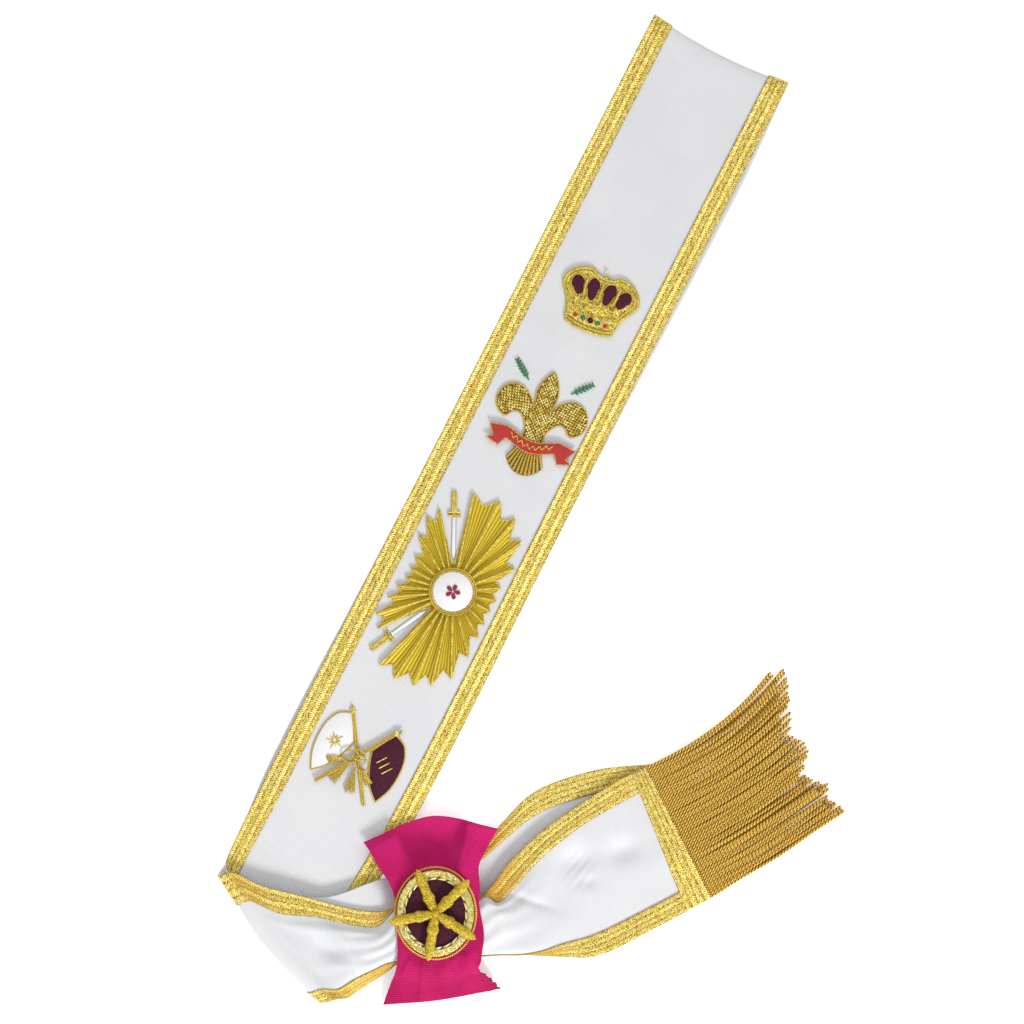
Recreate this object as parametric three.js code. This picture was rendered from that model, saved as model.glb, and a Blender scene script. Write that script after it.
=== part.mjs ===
// A ribbon sash of an order, lying flat and face up. Millimetres, +Z up, +Y towards the shoulder end.
// The ribbon runs down the front from the shoulder, and a second ribbon runs down the back, beneath it.
// At the hip the back ribbon folds round the end of the front one and is gathered under a bow, beyond
// which the two tails spread, each with a fringe. Gold lace edges the white ribbon all along.
import * as THREE from "three";

// Ribbon, lace and their layers
const RIBBON_WIDTH = 102;
const CLOTH = 1.2; // ribbon and lining together
const LACE_WIDTH = 14.2;
const LACE_THICKNESS = 0.9;
const GAP = 0.3; // between pieces that are sewn or laid on each other
const PANEL_LENGTH = 605.5; // shoulder fold to the level of the bow's centre
const PANEL_AIR = 2.8; // between the back ribbon and the front ribbon
const RETURN_AIR = 1.1; // between the front lace and the ribbon that returns over it
const BAND_AIR = 0.7; // between that return and the gathered band on top
const SHOULDER_SAG = 3.5; // the shoulder end curves in between its corners
const HIP_BULGE = 6; // the hip fold curves out between its corners
const FOLD_INSET = 2; // the front ribbon's fold inside the back ribbon's fold

// Bundle under the bow, and the tails
const BUNDLE_RISE = 8;
const BUNDLE_HEIGHT = 10.5; // mid-surface of the bundle's tucked edges
const UNDERLAY_HEIGHT = 6.2; // mid-surface of the flat layer beneath the bundle
const FRINGE_LENGTH = 104;
const FRINGE_THICKNESS = 2.2;
const FRINGE_LOCKS = 13;
const LOCK_GROOVE = 0.55; // share of the fringe's thickness that is left between two locks
const LOCK_NOTCH = 7; // a lock's tip stands this far beyond the notches beside it

// Bow and rosette
const BOW_HEIGHT = 125; // from end to end of the bow's ribbon
const BOW_CLOTH = 1.2;
const BOW_PLEAT = 3; // depth of the hollow between the pleats
const ROSETTE_WIDTH = 52;
const ROSETTE_LENGTH = 59;
const ROSETTE_THICKNESS = 3;
const RING_WIDTH = 4.4;
const RING_HEIGHT = 1.4;
const CORD_DIAMETER = 1.8;
const ARM_LENGTH = 27;
const ARM_WIDTH = 8.4;
const ARM_HEIGHT = 4.2;
const KNOT_SIZE = 5;

// Embroidery on the front ribbon
const PATCH = 0.9; // velvet, satin and silk patches
const BULLION = 1.5; // raised gold work
const CROWN_WIDTH = 54;
const CROWN_INSET = 0.9; // the velvet cap inside the gold frame's outline
const LILY_HEIGHT = 74;
const SCROLL_LENGTH = 62;
const SPRIG_LENGTH = 17;
const SUNBURST_RADIUS = 71;
const MEDALLION_DIAMETER = 32.6;
const MEDALLION_RING = 2.6;
const FLOWER_RADIUS = 5.2;
const LANCE_LENGTH = 48;
const LANCE_CLEARANCE = 4.4; // from the medallion's ring to a lance's point
const FLAG_LENGTH = 47;
const STAFF_LENGTH = 67.5;
const STAFF_WIDTH = 2.6;
const TASSEL_LENGTH = 26;

// Heights of the mid-surfaces, from the layers that lie on each other
const BACK_LEVEL = LACE_THICKNESS + GAP + CLOTH / 2;
const FRONT_LEVEL = BACK_LEVEL + CLOTH + PANEL_AIR;
const RETURN_LEVEL = FRONT_LEVEL + CLOTH + GAP + LACE_THICKNESS + RETURN_AIR;
const BAND_LEVEL = RETURN_LEVEL + CLOTH + BAND_AIR;
const SHOULDER_RADIUS = (FRONT_LEVEL - BACK_LEVEL) / 2;
const HIP_RADIUS = (BAND_LEVEL - BACK_LEVEL) / 2;
const RETURN_RADIUS = (RETURN_LEVEL - FRONT_LEVEL) / 2;
const UNDER_FRINGE_LEVEL = FRINGE_THICKNESS / 2;
const UPPER_FRINGE_LEVEL = UNDER_FRINGE_LEVEL + FRINGE_THICKNESS + GAP * 2;
const UNDER_TAIL_LEVEL = CLOTH / 2;
const TAIL_STACK = UNDER_TAIL_LEVEL + CLOTH + LACE_THICKNESS + GAP * 3;
const TAIL_LEVEL = Math.max(UPPER_FRINGE_LEVEL, TAIL_STACK);
const BOW_LEVEL = BUNDLE_HEIGHT + BUNDLE_RISE + (CLOTH + BOW_CLOTH) / 2 + GAP * 2;
const ROSETTE_LEVEL = BOW_LEVEL + BOW_CLOTH / 2 + GAP;
const EMBROIDERY_LEVEL = FRONT_LEVEL + CLOTH / 2 + GAP;
const LACE_SHARE = LACE_WIDTH / RIBBON_WIDTH;

// A point near the hip, in shares of the ribbon's width: across from the panel's centre line, and along
// from the level of the bow's centre.
const hip = (across, along) =>
  new THREE.Vector2(across * RIBBON_WIDTH, along * RIBBON_WIDTH - PANEL_LENGTH);
const BOW_CENTRE = hip(0.909, 0);
const BOW_TURN = THREE.MathUtils.degToRad(27);

// A section across the ribbon has seven columns. A form says how far each lies across the section, and
// how high it rises, as shares of the section's width and of its arch.
const COLUMNS = [0, 0.14, 0.3, 0.5, 0.7, 0.86, 1];
const FORMS = {
  flat: { reach: COLUMNS, rise: [0, 0, 0, 0, 0, 0, 0] },
  turned: { reach: [0, 0.21, 0.35, 0.54, 0.74, 0.9, 1], rise: [0, 0, 0, 0, 0, 0, 0] },
  spread: { reach: [0, 0.235, 0.37, 0.56, 0.76, 0.91, 1], rise: [0, 0, 0, 0, 0, 0, -1.6] },
  draped: { reach: [0, 0.22, 0.36, 0.56, 0.74, 0.89, 1], rise: [0, 0.1, 0.8, 0.45, 1, 0.4, -1.9] },
  drawn: { reach: [0, 0.25, 0.39, 0.58, 0.75, 0.88, 1], rise: [0, 0.15, 0.75, 1, 0.8, 0.4, -1.1] },
  rolled: { reach: [0.01, 0.02, 0.2, 0.5, 0.8, 0.98, 1], rise: [0, 0.45, 0.88, 1, 0.88, 0.5, 0] },
  gathered: { reach: [0.04, 0, 0.16, 0.5, 0.84, 1, 0.96], rise: [0, 0.5, 0.9, 1, 0.9, 0.5, 0] },
  lifted: { reach: [0, 0.08, 0.2, 0.5, 0.82, 1, 0.96], rise: [0, 0.3, 0.84, 1, 0.88, 0.5, 0] },
  pleated: { reach: [0, 0.3, 0.35, 0.5, 0.79, 1, 0.96], rise: [0, 0.1, 0.72, 1, 0.85, 0.46, 0] },
  loosened: { reach: [0, 0.3, 0.41, 0.58, 0.79, 0.99, 0.98], rise: [0, 0.02, 0.4, 0.9, 0.75, 0.42, 0] },
  unrolled: { reach: [0, 0.23, 0.37, 0.56, 0.77, 0.96, 1], rise: [0, 0.02, 0.35, 0.6, 0.7, 0.45, 0] },
  opening: { reach: [0, 0.18, 0.34, 0.53, 0.74, 0.9, 1], rise: [0, 0.05, 0.35, 0.25, 0.7, 0.35, 0] },
};

// One section: its two ends in plan, the height of its edges, its form and arch, and how far its middle
// bows out to the right of the line from start to end.
function section({ start, end, level, form = "flat", arch = 0, bow = 0 }) {
  const across = end.clone().sub(start);
  const outward = new THREE.Vector2(across.y, -across.x).normalize();
  return COLUMNS.map((share, column) => {
    const { reach, rise } = FORMS[form];
    const place = start.clone().addScaledVector(across, reach[column]);
    place.addScaledVector(outward, bow * Math.sin(Math.PI * share));
    return new THREE.Vector3(place.x, place.y, level + arch * rise[column]);
  });
}

const SMALL = 0.01; // a short step along or across a surface
// A cloth surface through its sections: run counts sections, and share goes from one edge to the other.
// The face side is on the left of the run, seen along the section.
class Sheet {
  constructor(sections, steps, columns = COLUMNS) {
    this.columns = columns;
    this.lines = columns.map((_, column) =>
      new THREE.CatmullRomCurve3(sections.map((row) => row[column]), false, "centripetal"));
    this.last = sections.length - 1;
    this.runs = [0];
    for (let i = 0; i < this.last; i += 1) {
      const count = Array.isArray(steps) ? steps[i] : steps;
      for (let step = 1; step <= count; step += 1) this.runs.push(i + step / count);
    }
  }

  point(run, share) {
    const along = THREE.MathUtils.clamp(run / this.last, 0, 1);
    const knots = this.lines.map((line) => line.getPoint(along));
    const across = new THREE.CatmullRomCurve3(knots, false, "centripetal");
    let column = 0;
    while (column < this.columns.length - 2 && share > this.columns[column + 1]) column += 1;
    const [from, to] = [this.columns[column], this.columns[column + 1]];
    return across.getPoint((column + (share - from) / (to - from)) / (this.columns.length - 1));
  }

  normal(run, share) {
    const [low, high] = [Math.max(run - SMALL, 0), Math.min(run + SMALL, this.last)];
    const [left, right] = [Math.max(share - SMALL, 0), Math.min(share + SMALL, 1)];
    const along = this.point(high, share).sub(this.point(low, share));
    const across = this.point(run, right).sub(this.point(run, left));
    return across.cross(along).normalize();
  }

  // The run at which a stretch of the given length is left before the last section.
  runBeforeEnd(length, share = 0.5) {
    let run = this.last;
    let left = length;
    while (left > 0 && run > SMALL) {
      left -= this.point(run, share).distanceTo(this.point(run - SMALL, share));
      run -= SMALL;
    }
    return run;
  }

  // A closed layer between two distances from the surface, over a range of runs and shares. Its grid
  // follows the surface's own sections, so layers over each other stay parallel.
  layer({ low, high, from = 0, to = this.last, shares }) {
    const between = this.runs.filter((run) => run > from + SMALL * 2 && run < to - SMALL * 2);
    const runs = [from, ...between, to];
    const geometry = new THREE.BoxGeometry(1, 1, 1, shares.length - 1, runs.length - 1, 1);
    const place = geometry.attributes.position;
    const made = new Map();
    for (let i = 0; i < place.count; i += 1) {
      const column = Math.round((place.getX(i) + 0.5) * (shares.length - 1));
      const row = Math.round((place.getY(i) + 0.5) * (runs.length - 1));
      const key = `${row}/${column}`;
      if (!made.has(key)) {
        const at = [runs[row], shares[column]];
        made.set(key, { point: this.point(...at), normal: this.normal(...at) });
      }
      const { point, normal } = made.get(key);
      const offset = place.getZ(i) > 0 ? high(runs[row], column) : low(runs[row], column);
      place.setXYZ(i, ...point.clone().addScaledVector(normal, offset).toArray());
    }
    alignDiagonals(geometry);
    geometry.computeVertexNormals();
    return geometry;
  }
}

// A box cuts the squares of its last side along the other diagonal than those of the side opposite.
// Cut alike, twisted layers keep their distance.
function alignDiagonals(geometry) {
  const corners = geometry.index;
  const { start, count } = geometry.groups.at(-1);
  for (let i = start; i < start + count; i += 6) {
    const [a, b, d, , c] = [0, 1, 2, 3, 4].map((step) => corners.getX(i + step));
    [a, b, c, a, c, d].forEach((corner, step) => corners.setX(i + step, corner));
  }
}

const CLOTH_SHARES = [0, LACE_SHARE, 0.22, 0.31, 0.4, 0.5, 0.6, 0.69, 0.78, 1 - LACE_SHARE, 1];
const cloth = (sheet, range = {}) =>
  sheet.layer({ low: () => -CLOTH / 2, high: () => CLOTH / 2, shares: CLOTH_SHARES, ...range });
const lace = (sheet, range) =>
  sheet.layer({
    low: () => CLOTH / 2 + GAP,
    high: () => CLOTH / 2 + GAP + LACE_THICKNESS,
    ...range,
  });
const FIRST_EDGE = [0, LACE_SHARE];
const LAST_EDGE = [1 - LACE_SHARE, 1];

// A half turn about a fold line, from under it to over it. The first and last section lie flat, an
// eighth of a turn before and after, so the cloth runs into the turn level.
const FOLD_TURNS = [-90, -90, -45, 0, 45, 90, 90];
function foldSections({ under, over, radius, level, bow, form }) {
  const lead = radius * THREE.MathUtils.degToRad(45);
  return FOLD_TURNS.map((angle, index) => {
    const turn = THREE.MathUtils.degToRad(angle);
    const flat = index === 0 || index === FOLD_TURNS.length - 1;
    const share = (angle + Math.sign(angle) * (flat ? 45 : 0) + 90) / 180;
    const start = under[0].clone().lerp(over[0], share);
    const end = under[1].clone().lerp(over[1], share);
    const across = end.clone().sub(start);
    const outward = new THREE.Vector2(across.y, -across.x).normalize();
    const reach = flat ? -lead : radius * Math.cos(turn);
    const shift = outward.multiplyScalar(reach * Math.sign(bow));
    start.add(shift);
    end.add(shift);
    return section({ start, end, level: level + radius * Math.sin(turn), bow, form });
  });
}

// Quarter turn at the shoulder, from the top of the fold to the panel's own level.
const SHOULDER_ANGLES = [0, 15, 45, 90];
function shoulderSections({ side, target }) {
  const middle = (BACK_LEVEL + FRONT_LEVEL) / 2;
  const sign = Math.sign(target - middle);
  return SHOULDER_ANGLES.map((angle) => {
    const turn = THREE.MathUtils.degToRad(angle);
    const rise = Math.max(SHOULDER_RADIUS * Math.sin(turn), GAP / 2);
    const along = SHOULDER_RADIUS * Math.cos(turn);
    return section({
      start: new THREE.Vector2((-side * RIBBON_WIDTH) / 2, along),
      end: new THREE.Vector2((side * RIBBON_WIDTH) / 2, along),
      level: middle + sign * rise,
      bow: side * SHOULDER_SAG,
    });
  });
}

// A straight section of a panel: down is a share of the panel's length, drift a share of its width.
const panelSection = ({ down, drift = 0, side, level }) =>
  section({
    start: new THREE.Vector2((drift - side / 2) * RIBBON_WIDTH, -down * PANEL_LENGTH),
    end: new THREE.Vector2((drift + side / 2) * RIBBON_WIDTH, -down * PANEL_LENGTH),
    level,
  });

// Rear ribbon: down the back face down, round the hip fold, gathered under the bow, and on as the
// upper tail, face up. Its first edge is the left one on the back and the upper one afterwards.
const BACK_DRIFT = [
  { down: 0.04, drift: 0.012 },
  { down: 0.12, drift: 0.03 },
  { down: 0.4, drift: 0.012 },
  { down: 0.7, drift: -0.008 },
  { down: 0.94, drift: -0.02 },
];
const BAND = [
  { start: [-0.2, -0.366], end: [0.64, -0.775], level: BAND_LEVEL, arch: 0.25, bow: 0.6, form: "spread" },
  { start: [0.1, -0.3], end: [0.69, -0.685], level: BAND_LEVEL, arch: 0.3, form: "draped" },
  { start: [0.368, -0.243], end: [0.755, -0.57], level: BAND_LEVEL, arch: 0.45, form: "drawn" },
  { start: [0.54, -0.185], end: [0.8, -0.485], level: BAND_LEVEL, arch: 0.6, form: "drawn" },
  { start: [0.67, -0.1], end: [0.84, -0.4], level: BUNDLE_HEIGHT, arch: 0.9, form: "rolled" },
  { start: [0.88, 0.07], end: [1.06, -0.25], level: BUNDLE_HEIGHT, arch: 1, form: "gathered" },
  { start: [1.134, 0.2], end: [1.314, -0.105], level: BUNDLE_HEIGHT, arch: 0.9, form: "gathered" },
];
const UPPER_TAIL = [
  { start: [1.15, 0.27], end: [1.365, -0.075], fall: 0.1, arch: 0.82, form: "lifted" },
  { start: [1.167, 0.36], end: [1.43, -0.04], fall: 0.22, arch: 0.75, form: "pleated" },
  { start: [1.185, 0.49], end: [1.545, 0.012], fall: 0.42, arch: 0.6, form: "loosened" },
  { start: [1.235, 0.645], end: [1.67, 0.068], fall: 0.56, arch: 0.48, form: "unrolled" },
  { start: [1.3, 0.81], end: [1.8, 0.12], fall: 0.68, arch: 0.32, form: "opening" },
  { start: [1.428, 1.055], end: [1.99, 0.22], fall: 0.86, arch: 0, form: "flat" },
  { start: [1.575, 1.3], end: [2.25, 0.555], fall: 0.97, arch: 0, form: "flat" },
  { start: [1.714, 1.488], end: [2.498, 0.912], fall: 1, arch: 0, form: "flat" },
];
const HIP_UNDER = [hip(-0.48, -0.375), hip(0.49, -0.815)];
const HIP_OVER = [hip(-0.452, -0.405), hip(0.55, -0.845)];
const hipRow = ({ start, end, level, form, arch = 0, bow = 0 }) =>
  section({
    start: hip(...start),
    end: hip(...end),
    level,
    form,
    arch: arch * BUNDLE_RISE,
    bow: bow * HIP_BULGE,
  });
const rear = new Sheet(
  [
    ...shoulderSections({ side: 1, target: BACK_LEVEL }),
    ...BACK_DRIFT.map((row) => panelSection({ ...row, side: 1, level: BACK_LEVEL })),
    ...foldSections({
      under: HIP_UNDER,
      over: HIP_OVER,
      radius: HIP_RADIUS,
      level: (BACK_LEVEL + BAND_LEVEL) / 2,
      bow: HIP_BULGE,
      form: "turned",
    }),
    ...BAND.map(hipRow),
    ...UPPER_TAIL.map((row) =>
      hipRow({ ...row, level: THREE.MathUtils.lerp(BUNDLE_HEIGHT, TAIL_LEVEL, row.fall) })),
  ],
  [1, 1, 2, 1, 1, 2, 2, 2, 2, 1, 1, 1, 1, 1, 1, 2, 2, 2, 3, 3, 3, 2, 3, 3, 3, 3, 3, 2, 2, 1, 1],
);

// Front ribbon: down the front face up, into the pocket of the hip fold, back over itself and on to the
// bundle, lining side up. Its first edge is the right one on the panel and the lower one afterwards.
const RETURN = [
  { start: [0.515, -0.74], end: [-0.1, -0.36], fall: 0 },
  { start: [0.59, -0.6], end: [0.204, -0.25], fall: 0 },
  { start: [0.68, -0.45], end: [0.46, 0.005], fall: 0 },
  { start: [0.79, -0.34], end: [0.6, 0.13], fall: 0.6 },
  { start: [0.93, -0.1], end: [0.8, 0.27], fall: 1 },
];
const inset = (point) => {
  const line = HIP_UNDER[1].clone().sub(HIP_UNDER[0]).normalize();
  return point.clone().add(new THREE.Vector2(-line.y, line.x).multiplyScalar(FOLD_INSET));
};
const RETURN_TUCK = 0.08; // share of the fold's length, by which its right corner lies further in
const RETURN_UNDER = [HIP_UNDER[1].clone().lerp(HIP_UNDER[0], RETURN_TUCK), HIP_UNDER[0]].map(inset);
const turnShift = HIP_OVER[1].clone().sub(HIP_UNDER[1]); // along the fold, from its under to its over side
const RETURN_OVER = RETURN_UNDER.map((point) => point.clone().add(turnShift));
const front = new Sheet(
  [
    ...shoulderSections({ side: -1, target: FRONT_LEVEL }),
    panelSection({ down: 0.06, side: -1, level: FRONT_LEVEL }),
    panelSection({ down: 0.5, side: -1, level: FRONT_LEVEL }),
    panelSection({ down: 0.94, side: -1, level: FRONT_LEVEL }),
    ...foldSections({
      under: RETURN_UNDER,
      over: RETURN_OVER,
      radius: RETURN_RADIUS,
      level: (FRONT_LEVEL + RETURN_LEVEL) / 2,
      bow: -HIP_BULGE,
    }),
    ...RETURN.map((row) =>
      hipRow({ ...row, level: THREE.MathUtils.lerp(RETURN_LEVEL, UNDERLAY_HEIGHT, row.fall) })),
  ],
  [1, 1, 2, 1, 2, 2, 3, 1, 1, 1, 1, 1, 1, 2, 2, 2, 2, 2],
);
const FRONT_FOLD_RUN = 8; // section at which the front ribbon's own fold begins

// Under tail: from the bundle out beneath the upper tail, face up
const UNDER_TAIL = [
  { start: [0.84, 0.3], end: [0.985, -0.07], fall: 0 },
  { start: [0.97, 0.5], end: [1.27, -0.02], fall: 0.25 },
  { start: [1.035, 0.73], end: [1.5, 0.08], fall: 0.55 },
  { start: [1.13, 1.0], end: [1.77, 0.2], fall: 0.8 },
  { start: [1.42, 1.31], end: [2.1, 0.48], fall: 0.95 },
  { start: [1.745, 1.525], end: [2.505, 0.94], fall: 1 },
];
const underTail = new Sheet(
  UNDER_TAIL.map((row) =>
    hipRow({ ...row, level: THREE.MathUtils.lerp(UNDERLAY_HEIGHT, UNDER_TAIL_LEVEL, row.fall) })),
  [2, 2, 2, 2, 2],
);

// A fringe hangs from a tail's end. Each strand leaves the head at one heading and turns to another,
// both in degrees; the reach is a share of the fringe's length.
const FRINGE = [
  { share: 0, leaves: 49, ends: 80, reach: 1.04 },
  { share: 0.2, leaves: 50, ends: 73, reach: 1.0 },
  { share: 0.5, leaves: 53, ends: 68, reach: 0.97 },
  { share: 0.8, leaves: 56, ends: 63, reach: 0.96 },
  { share: 1, leaves: 58, ends: 61, reach: 0.97 },
];
const FRINGE_SECTIONS = 5;
function fringeSheet(tail, level, stretch) {
  const heads = FRINGE.map(({ share }) => tail.point(tail.last, share));
  const outward = new THREE.Vector3().crossVectors(
    new THREE.Vector3(0, 0, 1), heads.at(-1).clone().sub(heads[0])).setLength(GAP);
  const places = heads.map((head) => head.clone().add(outward));
  const sections = [places.map((place) => place.clone().setZ(level))];
  for (let step = 1; step <= FRINGE_SECTIONS; step += 1) {
    FRINGE.forEach(({ leaves, ends, reach }, column) => {
      const heading = THREE.MathUtils.lerp(leaves, ends, (step - 0.5) / FRINGE_SECTIONS);
      const turn = THREE.MathUtils.degToRad(heading);
      const length = (FRINGE_LENGTH * reach * stretch) / FRINGE_SECTIONS;
      places[column].add(new THREE.Vector3(Math.cos(turn), Math.sin(turn), 0).multiplyScalar(length));
    });
    sections.push(places.map((place) => place.clone().setZ(level)));
  }
  return new Sheet(sections, 1, FRINGE.map(({ share }) => share));
}
// The locks are the crests between the grooves; each tip stands beyond the notches beside it.
function fringe(sheet) {
  const shares = Array.from({ length: FRINGE_LOCKS * 2 + 1 }, (_, i) => i / (FRINGE_LOCKS * 2));
  const half = (run, column) =>
    (FRINGE_THICKNESS / 2) * (column % 2 === 0 && run > 0 ? LOCK_GROOVE : 1);
  const geometry = sheet.layer({ low: (...at) => -half(...at), high: half, shares });
  const place = geometry.attributes.position;
  const tips = shares.map((share) => sheet.point(sheet.last, share));
  const before = shares.map((share) => sheet.point(sheet.last - 1, share));
  for (let i = 0; i < place.count; i += 1) {
    const point = new THREE.Vector3().fromBufferAttribute(place, i);
    const column = tips.findIndex((tip) => Math.hypot(tip.x - point.x, tip.y - point.y) < SMALL);
    if (column >= 0 && column % 2 === 0) {
      point.addScaledVector(before[column].clone().sub(tips[column]).normalize(), LOCK_NOTCH);
      place.setXYZ(i, ...point.toArray());
    }
  }
  geometry.computeVertexNormals();
  return geometry;
}
const UNDER_FRINGE_STRETCH = 1.03; // the under fringe shows a little beyond the upper one
const upperFringe = fringeSheet(rear, UPPER_FRINGE_LEVEL, 1);
const underFringe = fringeSheet(underTail, UNDER_FRINGE_LEVEL, UNDER_FRINGE_STRETCH);

// Bow: one ribbon across the bundle, wide at both ends. Each row gives its left, middle and right point
// in shares of the bow's height from its centre, and its rise as a share of the bow's level.
const BOW = [
  { left: [-0.285, -0.504], middle: [0.005, -0.48], right: [0.349, -0.417], rise: 0.12, pleat: -0.1 },
  { left: [-0.245, -0.392], middle: [0.02, -0.4], right: [0.299, -0.358], rise: 0.42, pleat: 0.1 },
  { left: [-0.21, -0.29], middle: [0.02, -0.3], right: [0.25, -0.28], rise: 0.86, pleat: 0 },
  { left: [-0.207, -0.118], middle: [0.022, -0.12], right: [0.262, -0.118], rise: 1, pleat: 0 },
  { left: [-0.215, 0.049], middle: [0.012, 0.05], right: [0.237, 0.049], rise: 1, pleat: 0 },
  { left: [-0.25, 0.16], middle: [0, 0.17], right: [0.241, 0.14], rise: 0.95, pleat: 0 },
  { left: [-0.31, 0.248], middle: [-0.02, 0.29], right: [0.233, 0.248], rise: 0.78, pleat: 1 },
  { left: [-0.362, 0.34], middle: [-0.02, 0.41], right: [0.278, 0.348], rise: 0.6, pleat: 1 },
  { left: [-0.39, 0.377], middle: [-0.02, 0.52], right: [0.337, 0.451], rise: 0.5, pleat: 0.5 },
];
const PLEATS = [0, 0.15, -0.6, -1, -0.7, 0.35, 0];
const bowPoint = ([x, y]) =>
  new THREE.Vector2(x * BOW_HEIGHT, y * BOW_HEIGHT).rotateAround(new THREE.Vector2(), BOW_TURN)
    .add(BOW_CENTRE);
const bowSheet = new Sheet(
  BOW.map(({ left, middle, right, rise, pleat }) => {
    const ends = [left, middle, right].map(bowPoint);
    const line = new THREE.CatmullRomCurve3(ends.map(({ x, y }) => new THREE.Vector3(x, y, 0)));
    return COLUMNS.map((share, column) =>
      line.getPoint(share).setZ(rise * BOW_LEVEL + pleat * BOW_PLEAT * PLEATS[column]));
  }),
  [2, 2, 2, 1, 1, 2, 2, 2],
);
const BOW_SHARES = [0, 0.1, 0.18, 0.26, 0.35, 0.5, 0.65, 0.74, 0.82, 0.9, 1];

// Rosette: a padded velvet disc, a bullion ring near its edge, a cord round the edge, and five arms
const ROUND = 40;
const CORD_SIDES = 6;
function turned(profile, segments) {
  const geometry = new THREE.LatheGeometry(profile.map(([r, z]) => new THREE.Vector2(r, z)), segments);
  geometry.rotateX(Math.PI / 2);
  return geometry;
}
const ROSETTE_RADIUS = ROSETTE_WIDTH / 2;
const rosetteDisc = turned(
  [[0, 0], [ROSETTE_RADIUS, 0], [ROSETTE_RADIUS, ROSETTE_THICKNESS], [0, ROSETTE_THICKNESS]], ROUND);
const RING_OUTER = ROSETTE_RADIUS - GAP;
const RING_INNER = RING_OUTER - RING_WIDTH;
const RING_MIDDLE = (RING_OUTER + RING_INNER) / 2;
const rosetteRing = turned(
  [[RING_INNER, 0], [RING_OUTER, 0], [RING_MIDDLE, RING_HEIGHT], [RING_INNER, 0]], ROUND);
const CORD_RADIUS = CORD_DIAMETER / 2;
const cordPath = ROSETTE_RADIUS + GAP + CORD_RADIUS;
const rosetteCord = new THREE.TorusGeometry(cordPath, CORD_RADIUS, CORD_SIDES, ROUND);
const ROSETTE_STRETCH = ROSETTE_LENGTH / ROSETTE_WIDTH;
const RING_LEVEL = ROSETTE_LEVEL + ROSETTE_THICKNESS + GAP;
const ARM_LEVEL = RING_LEVEL + RING_HEIGHT + GAP;
const ARM_BEARINGS = [112.8, 44.7, -32.4, -98.9, 190.8]; // degrees from the bow's own right
const ARM_PROFILE = [
  { along: 0, width: 0 },
  { along: 0.01, width: 0.5 },
  { along: 0.16, width: 0.98 },
  { along: 0.3, width: 0.9 },
  { along: 0.36, width: 0.68 },
  { along: 0.86, width: 0.72 },
  { along: 0.93, width: 0.5 },
  { along: 1, width: 0 },
];
const ARM_START = 5.2; // clear of the knot
const ARM_SIDES = 8;
function rosetteArm() {
  const profile = ARM_PROFILE.map(({ along, width }) =>
    new THREE.Vector2((width * ARM_WIDTH) / 2, along * ARM_LENGTH));
  const geometry = new THREE.LatheGeometry(profile, ARM_SIDES);
  geometry.rotateZ(-Math.PI / 2);
  geometry.scale(1, 1, ARM_HEIGHT / ARM_WIDTH);
  geometry.translate(ARM_START, 0, 0);
  return geometry;
}

// Flat work cut from a shape, with its faces at two heights
const plate = (shape, thickness) =>
  new THREE.ExtrudeGeometry(shape, { depth: thickness, bevelEnabled: false, curveSegments: 5 });
const outline = (points, size) =>
  new THREE.Shape(points.map(([x, y]) => new THREE.Vector2(x * size, y * size)));

// Crown: a gold frame with arched openings over a velvet cap, and jewels on its band
const CROWN_HALF = [
  [0.08, 0.33], [0.2, 0.385], [0.35, 0.345], [0.475, 0.23], [0.5, 0.1], [0.43, -0.02], [0.37, -0.12],
  [0.33, -0.24], [0.315, -0.33], [0.16, -0.375],
];
const mirrored = (half) => [...half, ...half.map(([x, y]) => [-x, y]).reverse()];
const CROWN_CELLS = [
  { x: 0.1, y: 0.13, wide: 0.075, high: 0.15, lean: -6 },
  { x: 0.29, y: 0.12, wide: 0.075, high: 0.13, lean: -24 },
];
function crownFrame() {
  const shape = outline(mirrored(CROWN_HALF), CROWN_WIDTH);
  for (const { x, y, wide, high, lean } of CROWN_CELLS) {
    for (const side of [-1, 1]) {
      const hole = new THREE.Path();
      hole.absellipse(side * x * CROWN_WIDTH, y * CROWN_WIDTH, wide * CROWN_WIDTH, high * CROWN_WIDTH,
        0, Math.PI * 2, false, THREE.MathUtils.degToRad(side * lean));
      shape.holes.push(hole);
    }
  }
  return plate(shape, BULLION);
}
const JEWELS = [
  { x: -0.2, wide: 0.03 },
  { x: -0.1, wide: 0.035 },
  { x: 0, wide: 0.04 },
  { x: 0.1, wide: 0.035 },
  { x: 0.2, wide: 0.03 },
];
const JEWEL_TOP = 0.7; // width of a jewel's top, as a share of its foot
const JEWEL_SIDES = 10;
const JEWEL_LINE = -0.26; // share of the crown's width, below its centre

// Lily: three petals, a clasp and a fan below it
const LILY_HALF = [
  [0, 0.5], [0.07, 0.4], [0.1, 0.28], [0.075, 0.14], [0.15, 0.24], [0.27, 0.3], [0.38, 0.26], [0.43, 0.15],
  [0.4, 0.04], [0.31, -0.01], [0.25, 0.05], [0.19, 0.06], [0.1, -0.05], [0.09, -0.14], [0.16, -0.3],
  [0.2, -0.45], [0.07, -0.49],
];
const SCROLL = [
  [-0.5, 0.1], [-0.42, -0.02], [-0.5, -0.06], [-0.34, -0.11], [-0.28, -0.01], [0, -0.09], [0.28, -0.01],
  [0.34, -0.11], [0.5, -0.06], [0.42, -0.02], [0.5, 0.1], [0.3, 0.13], [0, 0.05], [-0.3, 0.13],
];
const SCROLL_DROP = -0.2; // share of the lily's height
const SPRIG = [[0, 0], [0.35, 0.2], [0.7, 0.18], [1, 0], [0.7, -0.18], [0.35, -0.2]];
const SPRIG_PLACE = { across: 0.2, up: 0.36, lean: 48 }; // shares of the lily's height, and degrees

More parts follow.
